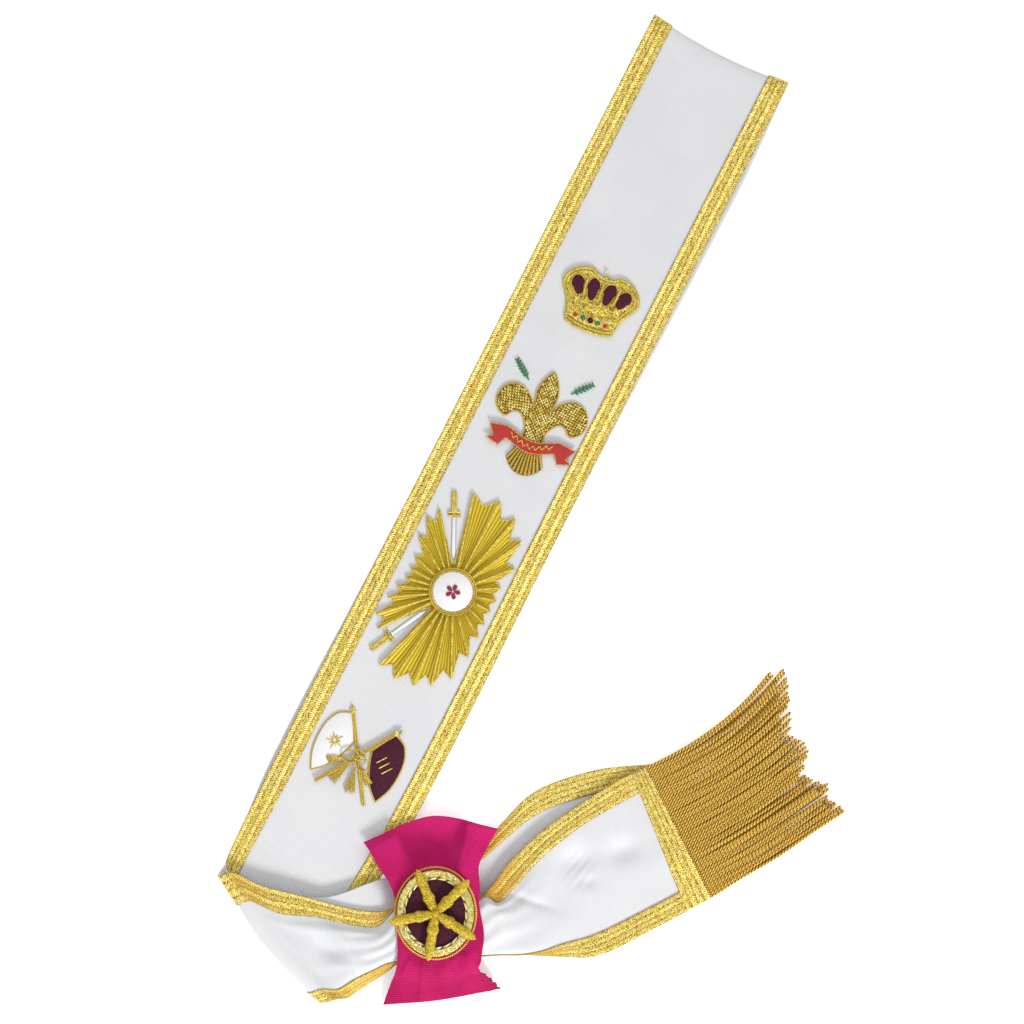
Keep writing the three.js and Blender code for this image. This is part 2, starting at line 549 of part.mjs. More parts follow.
// Sunburst: rays of their own lengths, with two gaps in which lances lie
const RAYS = [
  { bearing: 31.9, reach: 0.46 }, { bearing: 47.5, reach: 0.63 }, { bearing: 62.9, reach: 0.81 },
  { bearing: 76.2, reach: 0.91 }, { bearing: 89.4, reach: 0.97 }, { bearing: 105, reach: 0.96 },
  { bearing: 116, reach: 0.27, gap: true }, { bearing: 126, reach: 0.8 }, { bearing: 136, reach: 0.76 },
  { bearing: 148, reach: 0.63 }, { bearing: 164, reach: 0.49 }, { bearing: 178, reach: 0.46 },
  { bearing: 190, reach: 0.47 }, { bearing: 201, reach: 0.54 }, { bearing: 212, reach: 0.62 },
  { bearing: 223, reach: 0.76 }, { bearing: 233, reach: 0.8 }, { bearing: 242, reach: 0.27, gap: true },
  { bearing: 252, reach: 0.99 }, { bearing: 263, reach: 1 }, { bearing: 274, reach: 0.97 },
  { bearing: 284, reach: 0.92 }, { bearing: 296, reach: 0.83 }, { bearing: 310, reach: 0.64 },
  { bearing: 326, reach: 0.5 }, { bearing: 341, reach: 0.43 }, { bearing: 359.4, reach: 0.4 },
  { bearing: 375, reach: 0.42 },
];
const GAP_EDGE = 0.7; // how far towards a gap its last ray's foot reaches
const RAY_NOTCH = 0.9; // depth of the notch between two rays, as a share of the shorter one
const polar = (bearing, radius) => {
  const turn = THREE.MathUtils.degToRad(bearing);
  return new THREE.Vector2(Math.cos(turn) * radius, Math.sin(turn) * radius);
};
function sunburst() {
  const points = [];
  RAYS.forEach((ray, index) => {
    const next = RAYS[(index + 1) % RAYS.length];
    const turn = index + 1 === RAYS.length ? 360 : 0;
    points.push(polar(ray.bearing, ray.reach * SUNBURST_RADIUS));
    const notch = Math.min(ray.reach, next.reach) * (ray.gap || next.gap ? 1 : RAY_NOTCH);
    const share = ray.gap ? 1 - GAP_EDGE : next.gap ? GAP_EDGE : 0.5;
    const bearing = THREE.MathUtils.lerp(ray.bearing, next.bearing + turn, share);
    points.push(polar(bearing, notch * SUNBURST_RADIUS));
  });
  return plate(new THREE.Shape(points), BULLION);
}
const LANCE_BEARINGS = [116, 242];
const LANCE_WIDTH = 0.07; // share of a lance's length
const LANCE = [
  [0, 0], [0.12, 0.5], [0.6, 0.42], [0.62, 1.5], [0.68, 1.5], [0.69, 0.7], [1, 0.7], [1, -0.7],
  [0.69, -0.7], [0.68, -1.5], [0.62, -1.5], [0.6, -0.42], [0.12, -0.5],
];
const MEDALLION_SIDES = 24;
const FLOWER_PETALS = 5;
const PETAL = [0.45, 0.85, 1, 0.85]; // a petal's outline, from one notch to the next
function flower() {
  const points = Array.from({ length: FLOWER_PETALS * 4 }, (_, i) =>
    polar((i * 90) / FLOWER_PETALS, FLOWER_RADIUS * PETAL[i % PETAL.length]));
  return plate(new THREE.Shape(points), PATCH);
}

// Flags: two crossed staffs, a long curved flag on each, a knot and tassels where they cross
const STAFF_LEAN = 33.3; // degrees from the panel's own direction
const STAFF_HOIST = 0.43; // where a flag's upper corner sits, as a share of the staff from its middle
const FLAG = [
  [0, 0], [0.18, -0.08], [0.28, -0.26], [0.31, -0.5], [0.28, -0.76], [0.18, -1], [0.02, -0.85],
  [-0.075, -0.69], [-0.15, -0.51], [-0.2, -0.33],
];
const TASSELS = [
  [0, 0.3], [0.3, 0.1], [0.22, -0.2], [0.5, -0.8], [0.26, -0.94], [0.12, -0.5], [0.08, -1], [-0.14, -1],
  [-0.12, -0.5], [-0.34, -0.9], [-0.56, -0.75], [-0.22, -0.2], [-0.3, 0.1],
];

// Finishes
const finish = (colour, roughness, metalness = 0) =>
  new THREE.MeshStandardMaterial({ color: colour, roughness, metalness });
const WHITE_FAILLE = finish(0xf3f3f7, 0.7);
const GOLD_LACE = finish(0xe0b23a, 0.45, 0.5);
const GOLD_BULLION = finish(0xcfa21f, 0.4, 0.6);
const SILVER_THREAD = finish(0xc9ccd0, 0.35, 0.7);
const FRINGE_CORD = finish(0xbd8a2c, 0.55, 0.3);
const MAGENTA_GROSGRAIN = finish(0xd42a7b, 0.75);
const PLUM_VELVET = finish(0x4a1026, 0.9);
const RED_SILK = finish(0xcc2a22, 0.6);
const GREEN_SILK = finish(0x1f7a45, 0.6);
const WHITE_SILK = finish(0xfafafa, 0.6);

const sash = new THREE.Group();
function add(name, geometry, material, { x = 0, y = 0, z = 0, turn = 0 } = {}, parent = sash) {
  const mesh = new THREE.Mesh(geometry, material);
  mesh.name = name;
  mesh.position.set(x, y, z);
  mesh.rotation.z = THREE.MathUtils.degToRad(turn);
  parent.add(mesh);
  return mesh;
}

// Ribbons and their lace
add("front_ribbon", cloth(front), WHITE_FAILLE);
add("rear_ribbon", cloth(rear), WHITE_FAILLE);
add("under_tail", cloth(underTail), WHITE_FAILLE);
add("front_lace_right", lace(front, { to: FRONT_FOLD_RUN, shares: FIRST_EDGE }), GOLD_LACE);
add("front_lace_left", lace(front, { to: FRONT_FOLD_RUN, shares: LAST_EDGE }), GOLD_LACE);
const upperLaceEnd = rear.runBeforeEnd(LACE_WIDTH);
const underLaceEnd = underTail.runBeforeEnd(LACE_WIDTH);
const laceGap = (sheet, run) => run - GAP / sheet.point(run, 0.5).distanceTo(sheet.point(run - 1, 0.5));
const upperSideEnd = laceGap(rear, upperLaceEnd);
const underSideEnd = laceGap(underTail, underLaceEnd);
add("rear_lace_upper", lace(rear, { to: upperSideEnd, shares: FIRST_EDGE }), GOLD_LACE);
add("rear_lace_lower", lace(rear, { to: upperSideEnd, shares: LAST_EDGE }), GOLD_LACE);
add("rear_lace_end", lace(rear, { from: upperLaceEnd, shares: CLOTH_SHARES }), GOLD_LACE);
add("under_lace_upper", lace(underTail, { to: underSideEnd, shares: FIRST_EDGE }), GOLD_LACE);
add("under_lace_lower", lace(underTail, { to: underSideEnd, shares: LAST_EDGE }), GOLD_LACE);
add("under_lace_end", lace(underTail, { from: underLaceEnd, shares: CLOTH_SHARES }), GOLD_LACE);

// Fringes
add("upper_fringe", fringe(upperFringe), FRINGE_CORD);
add("under_fringe", fringe(underFringe), FRINGE_CORD);

// Bow and rosette
const bowRibbon = bowSheet.layer({
  low: () => -BOW_CLOTH / 2,
  high: () => BOW_CLOTH / 2,
  shares: BOW_SHARES,
});
add("bow", bowRibbon, MAGENTA_GROSGRAIN);
const rosette = new THREE.Group();
rosette.position.set(BOW_CENTRE.x, BOW_CENTRE.y, 0);
rosette.rotation.z = BOW_TURN;
sash.add(rosette);
for (const [name, geometry, material, z] of [
  ["rosette_disc", rosetteDisc, PLUM_VELVET, ROSETTE_LEVEL],
  ["rosette_ring", rosetteRing, GOLD_BULLION, RING_LEVEL],
  ["rosette_cord", rosetteCord, GOLD_BULLION, ROSETTE_LEVEL + CORD_RADIUS],
]) {
  geometry.scale(1, ROSETTE_STRETCH, 1);
  add(name, geometry, material, { z }, rosette);
}
ARM_BEARINGS.forEach((bearing, index) => {
  const place = { z: ARM_LEVEL + ARM_HEIGHT / 2, turn: bearing };
  add(`rosette_arm_${index + 1}`, rosetteArm(), GOLD_BULLION, place, rosette);
});
const KNOT_HEIGHT = ARM_LEVEL + ARM_HEIGHT - RING_LEVEL; // sewn down on the velvet between the arms
add("rosette_knot", new THREE.BoxGeometry(KNOT_SIZE, KNOT_SIZE, KNOT_HEIGHT), GOLD_BULLION,
  { z: RING_LEVEL + KNOT_HEIGHT / 2, turn: ARM_BEARINGS[0] }, rosette);

// Embroidery, each group at its place: a share of the panel's length down it, and of its width across
const EMBLEMS = {
  crown: { down: 0.311, across: 0.028, turn: 6 },
  lily: { down: 0.4634, across: 0.041, turn: 8 },
  glory: { down: 0.6725, across: 0.046, turn: 0 },
  flags: { down: 0.884, across: -0.02, turn: 0 },
};
function emblem({ down, across, turn }) {
  const group = new THREE.Group();
  group.position.set(across * RIBBON_WIDTH, -down * PANEL_LENGTH, EMBROIDERY_LEVEL);
  group.rotation.z = THREE.MathUtils.degToRad(turn);
  sash.add(group);
  return group;
}
const OVER_PATCH = PATCH + GAP;
const OVER_BULLION = BULLION + GAP;

const crown = emblem(EMBLEMS.crown);
const crownCap = plate(outline(mirrored(CROWN_HALF), CROWN_WIDTH - CROWN_INSET * 2), PATCH);
add("crown_cap", crownCap, PLUM_VELVET, {}, crown);
add("crown_frame", crownFrame(), GOLD_BULLION, { z: OVER_PATCH }, crown);
JEWELS.forEach(({ x, wide }, index) => {
  const foot = wide * CROWN_WIDTH;
  const jewel = new THREE.CylinderGeometry(foot * JEWEL_TOP, foot, PATCH, JEWEL_SIDES);
  jewel.rotateX(Math.PI / 2);
  const level = OVER_PATCH + OVER_BULLION + PATCH / 2;
  const place = { x: x * CROWN_WIDTH, y: JEWEL_LINE * CROWN_WIDTH, z: level };
  add(`crown_jewel_${index + 1}`, jewel, index % 2 ? GREEN_SILK : RED_SILK, place, crown);
});

const lily = emblem(EMBLEMS.lily);
add("lily", plate(outline(mirrored(LILY_HALF), LILY_HEIGHT), BULLION), GOLD_BULLION, {}, lily);
add("lily_scroll", plate(outline(SCROLL, SCROLL_LENGTH), PATCH), RED_SILK,
  { y: SCROLL_DROP * LILY_HEIGHT, z: OVER_BULLION }, lily);
for (const [name, side] of [["sprig_left", -1], ["sprig_right", 1]]) {
  const place = {
    x: side * LILY_HEIGHT * SPRIG_PLACE.across,
    y: LILY_HEIGHT * SPRIG_PLACE.up,
    turn: 90 - side * SPRIG_PLACE.lean,
  };
  add(name, plate(outline(SPRIG, SPRIG_LENGTH), PATCH), GREEN_SILK, place, lily);
}

const glory = emblem(EMBLEMS.glory);
add("sunburst", sunburst(), GOLD_BULLION, {}, glory);
const ringOuter = MEDALLION_DIAMETER / 2;
const discRadius = ringOuter - MEDALLION_RING;
const ringInner = discRadius + GAP;
const medallion = turned([[0, 0], [discRadius, 0], [discRadius, PATCH], [0, PATCH]], MEDALLION_SIDES);
add("medallion", medallion, WHITE_SILK, { z: OVER_BULLION }, glory);
const ringCrest = (ringInner + ringOuter) / 2;
const medallionRing = turned(
  [[ringInner, 0], [ringOuter, 0], [ringCrest, BULLION], [ringInner, 0]], MEDALLION_SIDES);
add("medallion_ring", medallionRing, GOLD_BULLION, { z: OVER_BULLION }, glory);
add("medallion_flower", flower(), PLUM_VELVET, { z: OVER_BULLION + OVER_PATCH }, glory);
LANCE_BEARINGS.forEach((bearing, index) => {
  const points = LANCE.map(([along, across]) => [along, across * LANCE_WIDTH]);
  const start = polar(bearing, ringOuter + LANCE_CLEARANCE);
  add(`lance_${index + 1}`, plate(outline(points, LANCE_LENGTH), PATCH), SILVER_THREAD,
    { x: start.x, y: start.y, turn: bearing }, glory);
});

const flags = emblem(EMBLEMS.flags);
for (const [name, side, material] of [["flag_white", -1, WHITE_SILK], ["flag_red", 1, PLUM_VELVET]]) {
  const shape = outline(FLAG.map(([x, y]) => [side * x, y]), FLAG_LENGTH);
  const { x, y } = polar(90 - side * STAFF_LEAN, STAFF_LENGTH * STAFF_HOIST);
  add(name, plate(shape, PATCH), material, { x, y }, flags);
}
[1, -1].forEach((side, index) => {
  const staff = new THREE.BoxGeometry(STAFF_WIDTH, STAFF_LENGTH, PATCH);
  add(`staff_${index + 1}`, staff, GOLD_BULLION,
    { z: OVER_PATCH * (index + 1) + PATCH / 2, turn: side * STAFF_LEAN }, flags);
});
const tassels = plate(outline(TASSELS, TASSEL_LENGTH), PATCH);
add("flag_tassels", tassels, GOLD_BULLION, { z: OVER_PATCH * 3 }, flags);

// The origin is the middle of the footprint, on the surface that the sash lies on
sash.updateMatrixWorld(true);
const box = new THREE.Box3().setFromObject(sash);
const middle = box.getCenter(new THREE.Vector3());
sash.position.set(-middle.x, -middle.y, -box.min.z);

export default sash;
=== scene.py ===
# %% [markdown]
# # A fringed ribbon sash with a bow and a rosette
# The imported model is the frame: it says where each piece lies and how big it is. This lesson dresses
# it. Each ribbon, lace, cord and embroidered piece gets a finer shape in the same place, and a finish
# made of shader nodes. Loading comes first, because every later piece is placed by the frame.

# %% Load the frame
import math
import random

import bmesh
import bpy
import numpy as np
from mathutils import Matrix, Vector


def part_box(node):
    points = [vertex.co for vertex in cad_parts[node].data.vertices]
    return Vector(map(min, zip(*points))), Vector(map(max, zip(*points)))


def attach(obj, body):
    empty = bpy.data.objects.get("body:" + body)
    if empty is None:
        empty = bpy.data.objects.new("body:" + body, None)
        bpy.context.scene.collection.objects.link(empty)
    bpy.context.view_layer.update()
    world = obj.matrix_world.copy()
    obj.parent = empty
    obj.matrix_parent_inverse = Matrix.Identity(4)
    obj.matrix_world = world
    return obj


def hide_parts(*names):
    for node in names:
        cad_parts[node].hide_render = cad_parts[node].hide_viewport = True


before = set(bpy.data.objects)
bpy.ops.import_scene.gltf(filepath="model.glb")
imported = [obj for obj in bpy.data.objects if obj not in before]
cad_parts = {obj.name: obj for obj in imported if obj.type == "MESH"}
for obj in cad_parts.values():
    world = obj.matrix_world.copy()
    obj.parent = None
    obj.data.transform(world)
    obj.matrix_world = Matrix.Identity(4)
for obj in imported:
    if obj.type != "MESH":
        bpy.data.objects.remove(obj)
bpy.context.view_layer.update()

MM = 0.001

# %% [markdown]
# The photograph looks straight down on the sash, turned 27 degrees. A long lens from high above gives
# the same flat view with almost no perspective. The camera stands over the middle of the picture.

# %% Camera
VIEW_CENTRE = (-0.1103, 0.0053)
VIEW_WIDTH = 0.694
VIEW_HEIGHT = 5.0
VIEW_TURN = math.radians(27)
camera = bpy.data.cameras.new("camera")
camera.sensor_width = 36
camera.lens = camera.sensor_width * VIEW_HEIGHT / VIEW_WIDTH
camera_object = bpy.data.objects.new("camera", camera)
camera_object.location = (*VIEW_CENTRE, VIEW_HEIGHT)
camera_object.rotation_euler = (0, 0, VIEW_TURN)
bpy.context.scene.collection.objects.link(camera_object)
bpy.context.scene.camera = camera_object
print("lens of", round(camera.lens), "mm")

# %% [markdown]
# White cloth on a white floor shows its folds only by soft shadows. A pale world fills them, and a wide
# lamp low below the picture's foot draws them. The floor glows a little, like a light table, so shadows on
# it wash out to white.

# %% Floor and light
WORLD_STRENGTH = 0.73
LAMPS = [
    {"name": "main", "bearing": -72, "away": 2.0, "up": 1.1, "size": 0.5, "power": 42},
    {"name": "fill", "bearing": 100, "away": 1.6, "up": 1.6, "size": 1.2, "power": 6},
]
FLOOR_REACH = 3
PAPER = {
    "Base Color": (0.96, 0.96, 0.96, 1), "Roughness": 0.9,
    "Emission Color": (1, 1, 1, 1), "Emission Strength": 0.36,
}
world = bpy.data.worlds.new("studio")
world.use_nodes = True
background = world.node_tree.nodes["Background"]
background.inputs["Color"].default_value = (1, 1, 1, 1)
background.inputs["Strength"].default_value = WORLD_STRENGTH
bpy.context.scene.world = world
bpy.context.scene.view_settings.view_transform = "Standard"
for lamp in LAMPS:
    light = bpy.data.lights.new(lamp["name"], "AREA")
    light.size = lamp["size"]
    light.energy = lamp["power"]
    bearing = math.radians(lamp["bearing"]) + VIEW_TURN
    place = Vector((math.cos(bearing) * lamp["away"], math.sin(bearing) * lamp["away"], lamp["up"]))
    holder = bpy.data.objects.new(lamp["name"], light)
    holder.location = place
    holder.rotation_euler = place.to_track_quat("Z", "Y").to_euler()
    bpy.context.scene.collection.objects.link(holder)
bm = bmesh.new()
bmesh.ops.create_grid(bm, x_segments=1, y_segments=1, size=FLOOR_REACH)
floor_mesh = bpy.data.meshes.new("floor")
bm.to_mesh(floor_mesh)
bm.free()
floor = bpy.data.objects.new("floor", floor_mesh)
bpy.context.scene.collection.objects.link(floor)
paper = bpy.data.materials.new("paper")
paper.use_nodes = True
for key, value in PAPER.items():
    paper.node_tree.nodes["Principled BSDF"].inputs[key].default_value = value
floor_mesh.materials.append(paper)
print(len(LAMPS), "lamps, a pale world and a floor")

# %% [markdown]
# Every finish is a small tree of nodes that ends in one Principled shader. A few helpers keep the trees
# short: they start a finish, add a node and wire it, make a wave or a ramp of colours, and paint with
# it. Numbers that don't change over a surface are set on the shader itself.

# %% Finish helpers
def feed(tree, socket, value):
    """Wires another node's output to a socket, or sets a number or a colour on it."""
    if isinstance(value, bpy.types.NodeSocket):
        tree.links.new(value, socket)
    else:
        socket.default_value = value


def add_node(tree, kind, inputs=None, **settings):
    made = tree.nodes.new("ShaderNode" + kind)
    for key, value in settings.items():
        setattr(made, key, value)
    for key, value in (inputs or {}).items():
        feed(tree, made.inputs[key], value)
    return made


def new_finish(name, **numbers):
    finish = bpy.data.materials.new(name)
    finish.use_nodes = True
    shader = finish.node_tree.nodes["Principled BSDF"]
    for key, value in numbers.items():
        shader.inputs[key.replace("_", " ")].default_value = value
    return finish, finish.node_tree, shader


def maths(tree, operation, first, second=0.0, third=0.0):
    made = add_node(tree, "Math", operation=operation)
    for socket, value in zip(made.inputs, (first, second, third)):
        feed(tree, socket, value)
    return made.outputs[0]


def ripple(tree, distance, period):
    """A wave from 0 to 1 along a distance, with one crest in each period."""
    turn = maths(tree, "MULTIPLY", distance, 2 * math.pi / period)
    return maths(tree, "MULTIPLY_ADD", maths(tree, "SINE", turn), 0.5, 0.5)


def ramp(tree, value, stops):
    made = add_node(tree, "ValToRGB", {"Fac": value})
    elements = made.color_ramp.elements
    while len(elements) < len(stops):
        elements.new(0.5)
    for element, (position, colour) in zip(elements, stops):
        element.position = position
        element.color = (*colour, 1)
    return made.outputs["Color"]


def paint(tree, shader, tone, stops):
    """Gives the surface the colours of a ramp, by a tone from 0 to 1."""
    tree.links.new(ramp(tree, tone, stops), shader.inputs["Base Color"])


def bump(tree, shader, height, distance, strength=1.0):
    made = add_node(tree, "Bump", {"Height": height, "Distance": distance, "Strength": strength})
    tree.links.new(made.outputs["Normal"], shader.inputs["Normal"])


def noise(tree, place, scale, detail):
    return add_node(tree, "TexNoise", {"Vector": place, "Scale": scale, "Detail": detail}).outputs["Fac"]


def object_place(tree):
    return add_node(tree, "TexCoord").outputs["Object"]


def woven_place(tree):
    """Metres along and across the cloth, from its own map."""
    at = add_node(tree, "UVMap", uv_map="weave")
    split = add_node(tree, "SeparateXYZ", {"Vector": at.outputs["UV"]})
    return at.outputs["UV"], split.outputs["X"], split.outputs["Y"]


# %% [markdown]
# The ribbon is white faille, a silk with fine ribs across its width. Under light the ribs shimmer in
# faint watered streaks. The ribs are bump, because they are half a millimetre wide, and a slow noise
# bends them and tints the cloth.

# %% White faille
RIB = 0.0011
FAILLE_TONES = [(0, (0.60, 0.61, 0.63)), (0.55, (0.725, 0.725, 0.735))]
faille, tree, shader = new_finish("white_faille", Roughness=0.62, Sheen_Weight=0.25, Sheen_Roughness=0.5)
uv, along, across = woven_place(tree)
streak = add_node(tree, "Mapping", {"Vector": uv, "Scale": (1, 0.16, 1)})
watered = noise(tree, streak.outputs["Vector"], 160, 3)
ribs = ripple(tree, maths(tree, "MULTIPLY_ADD", watered, 0.0016, along), RIB)
slow = noise(tree, uv, 18, 2)
paint(tree, shader, maths(tree, "MULTIPLY_ADD", ribs, 0.22, maths(tree, "MULTIPLY", slow, 0.5)), FAILLE_TONES)
grain = noise(tree, uv, 2200, 1)
bump(tree, shader, maths(tree, "MULTIPLY_ADD", grain, 0.5, ribs), 0.00012)
print("faille ribs every", RIB * 1000, "mm")

# %% [markdown]
# Gold lace is woven from flat metal thread in lengthwise ribs, with diagonal stitches that switch
# direction from rib to rib. Each stitch catches the light by itself, which gives the glitter. Small
# random cells stand for the stitches and pick a gold for each. That gold is partly the thread's own
# uneven tone and partly painted glitter: pale cells are painted glints, dark cells painted dark reflections.

# %% Gold lace
LACE_RIB = 0.00355
STITCH = 0.0017
STITCH_CELLS = 1800
PAINTED_SHADE_GOLD = (0.62, 0.33, 0.03, 1)
LACE_GOLDS = [
    (0.08, (0.16, 0.075, 0.008)), (0.27, (0.52, 0.31, 0.03)), (0.5, (0.78, 0.56, 0.06)),
    (0.72, (0.92, 0.78, 0.18)), (0.92, (1.0, 0.94, 0.55)),
]
gold_lace, tree, shader = new_finish("gold_lace", Roughness=0.42, Metallic=0.35)
uv, along, across = woven_place(tree)
rib = maths(tree, "PINGPONG", across, LACE_RIB)
slant = maths(tree, "ADD", along, rib)
stitches = ripple(tree, slant, STITCH)
squeeze = add_node(tree, "Mapping", {"Vector": uv, "Scale": (0.9, 1, 1)})
# Pale cells are painted glints and dark cells painted dark reflections, over the thread's own uneven tone.
cells = add_node(tree, "TexVoronoi", {"Vector": squeeze.outputs["Vector"], "Scale": STITCH_CELLS})
pick = add_node(tree, "SeparateColor", {"Color": cells.outputs["Color"]}).outputs["Red"]
worn = noise(tree, uv, 70, 3)
mixed = maths(tree, "MULTIPLY_ADD", pick, 0.74, maths(tree, "MULTIPLY", stitches, 0.2))
mixed = maths(tree, "MULTIPLY_ADD", worn, 0.16, mixed)
grooves = maths(tree, "POWER", ripple(tree, maths(tree, "ADD", across, LACE_RIB / 4), LACE_RIB), 4)
mixed = maths(tree, "MULTIPLY_ADD", grooves, -0.26, mixed)
blend = add_node(tree, "Mix", data_type="RGBA")
# Where the turned attribute is high, the gold is mixed towards a deeper orange: painted shade where the lace
# turns towards the bow.
turned = add_node(tree, "Attribute", attribute_name="turned").outputs["Fac"]
for index, value in ((0, turned), (6, ramp(tree, mixed, LACE_GOLDS)), (7, PAINTED_SHADE_GOLD)):
    feed(tree, blend.inputs[index], value)
tree.links.new(blend.outputs[2], shader.inputs["Base Color"])
bump(tree, shader, maths(tree, "MULTIPLY_ADD", pick, 0.6, stitches), 0.00025)
print("lace ribs every", LACE_RIB * 1000, "mm")

# %% [markdown]
# A bullion cord is two strands twisted round each other. Its map runs once round the cord and in metres
# along it, so one sloping wave draws the groove between the strands: its dark is painted shade in the
# groove, and its light a painted highlight along each strand. The same finish serves the fringe and
# the cords that edge the embroidery. With one strand it draws the dashed cord of the rosette.

# %% Twisted cord
def cord_finish(name, pitch, groove_shade_and_dark_thread, light, strands=2, **numbers):
    finish, tree, shader = new_finish(name, **numbers)
    _, along, around = woven_place(tree)
    turn = maths(tree, "MULTIPLY_ADD", along, strands / pitch, maths(tree, "MULTIPLY", around, strands))
    wave = maths(tree, "COSINE", maths(tree, "MULTIPLY", turn, 2 * math.pi))
    strand = maths(tree, "MULTIPLY_ADD", wave, 0.5, 0.5)
    spots = noise(tree, object_place(tree), 900, 1)
    # The dark end of this tone is painted shade in the groove between strands and the light end a painted
    # highlight on the strands; with one strand the dark is the dashes' own colour.
    tone = maths(tree, "MULTIPLY_ADD", spots, 0.5, maths(tree, "MULTIPLY", strand, 0.75))
    middle = tuple((a + 2 * b) / 3 for a, b in zip(groove_shade_and_dark_thread, light))
    paint(tree, shader, tone, [(0.26, groove_shade_and_dark_thread), (0.46, middle), (0.82, light)])
    bump(tree, shader, strand, 0.0004)
    return finish


FRINGE_PITCH = 0.0052
fringe_cord = cord_finish(
    "fringe_cord", FRINGE_PITCH, (0.03, 0.010, 0.001), (0.82, 0.50, 0.075), Roughness=0.4, Metallic=0.3)
edge_cord = cord_finish(
    "edge_cord", 0.0022, (0.30, 0.17, 0.01), (0.95, 0.70, 0.12), Roughness=0.35, Metallic=0.4)
rim_cord = cord_finish(
    "rim_cord", 0.003, (0.42, 0.06, 0.01), (0.90, 0.52, 0.08), Roughness=0.4, Metallic=0.3)
green_dashes = cord_finish(
    "green_dashes", 0.0062, (0.012, 0.022, 0.002), (0.95, 0.86, 0.42), strands=1, Roughness=0.3, Metallic=0.4)
print("cord pitch", FRINGE_PITCH * 1000, "mm")

# %% [markdown]
# The bow is cotton grosgrain, a matt ribbon with plain ribs from side to side, a shade darker between
# them. A slow noise fades the pink a little, as dyed cotton is never quite even. The pink is also
# painted darker towards the bow's foot and lighter towards its top: painted shade and painted light
# that even out the lamp, which lights the foot's slope more than the top.

# %% Magenta grosgrain
GROSGRAIN_RIB = 0.0013
PINKS = [(0.1, (0.26, 0.003, 0.055)), (0.55, (0.48, 0.008, 0.105)), (1, (0.64, 0.016, 0.17))]
grosgrain, tree, shader = new_finish(
    "magenta_grosgrain", Roughness=0.9, Specular_IOR_Level=0.15, Sheen_Weight=0.04)
uv, along, across = woven_place(tree)
wander = noise(tree, uv, 120, 2)
ribs = ripple(tree, maths(tree, "MULTIPLY_ADD", wander, 0.0003, along), GROSGRAIN_RIB)
fade = noise(tree, uv, 45, 3)
tone = maths(tree, "MULTIPLY_ADD", ribs, 0.4, maths(tree, "MULTIPLY", fade, 0.7))
# Painted shade towards the bow's foot and painted light towards its top, growing with the length along the
# ribbon.
tone = maths(tree, "MULTIPLY_ADD", along, 3.8, maths(tree, "SUBTRACT", tone, 0.21))
paint(tree, shader, tone, PINKS)
bump(tree, shader, ribs, 0.00018)
print("grosgrain ribs every", GROSGRAIN_RIB * 1000, "mm")

# %% [markdown]
# Velvet is dark face on and lighter where its pile turns away, which sheen gives. Silk patches are
# filled with satin stitch, so they show fine parallel threads.

# %% Velvet and silk
SATIN_THREAD = 0.0006


def pile_finish(name, deep, light):
    finish, tree, shader = new_finish(name, Roughness=0.95, Sheen_Weight=0.18, Sheen_Roughness=0.35)
    nap = noise(tree, object_place(tree), 700, 3)
    paint(tree, shader, nap, [(0.35, deep), (0.75, light)])
    bump(tree, shader, nap, 0.0002)
    return finish


def satin_finish(name, deep, light, slope=0.6):
    finish, tree, shader = new_finish(name, Roughness=0.45, Sheen_Weight=0.2)
    place = object_place(tree)
    split = add_node(tree, "SeparateXYZ", {"Vector": place})
    leaning = maths(tree, "MULTIPLY_ADD", split.outputs["X"], slope, split.outputs["Y"])
    threads = ripple(tree, leaning, SATIN_THREAD)
    spots = noise(tree, place, 800, 2)
    tone = maths(tree, "MULTIPLY_ADD", threads, 0.4, maths(tree, "MULTIPLY", spots, 0.6))
    paint(tree, shader, tone, [(0.2, deep), (0.75, light)])
    bump(tree, shader, threads, 0.00012)
    return finish


plum_velvet = pile_finish("plum_velvet", (0.028, 0.001, 0.010), (0.10, 0.005, 0.03))
red_silk = satin_finish("red_silk", (0.34, 0.008, 0.008), (0.62, 0.03, 0.022))
green_silk = satin_finish("green_silk", (0.005, 0.10, 0.035), (0.02, 0.27, 0.10), slope=-0.8)
crimson_silk = satin_finish("crimson_silk", (0.14, 0.002, 0.015), (0.40, 0.01, 0.05))
white_silk = satin_finish("white_silk", (0.78, 0.78, 0.80), (0.95, 0.95, 0.96), slope=0.2)
print("velvet and four silks")

# %% [markdown]
# Bullion is gold wire wound into a springy tube, cut and sewn down like beads. Matt bullion is a dense
# grain of tiny coils, and bright bullion has flat facets that flash. Both are cells of randomly picked
# gold here, the bright one with more metal, less roughness and darker gaps. The gold is partly the wire's
# own uneven tone and partly painted light: the palest cells are painted glints, the darkest painted
# shade, and in bright bullion painted dark reflections. The sunburst's rays are laid thread instead:
# fine waves of gold that run out from its centre.

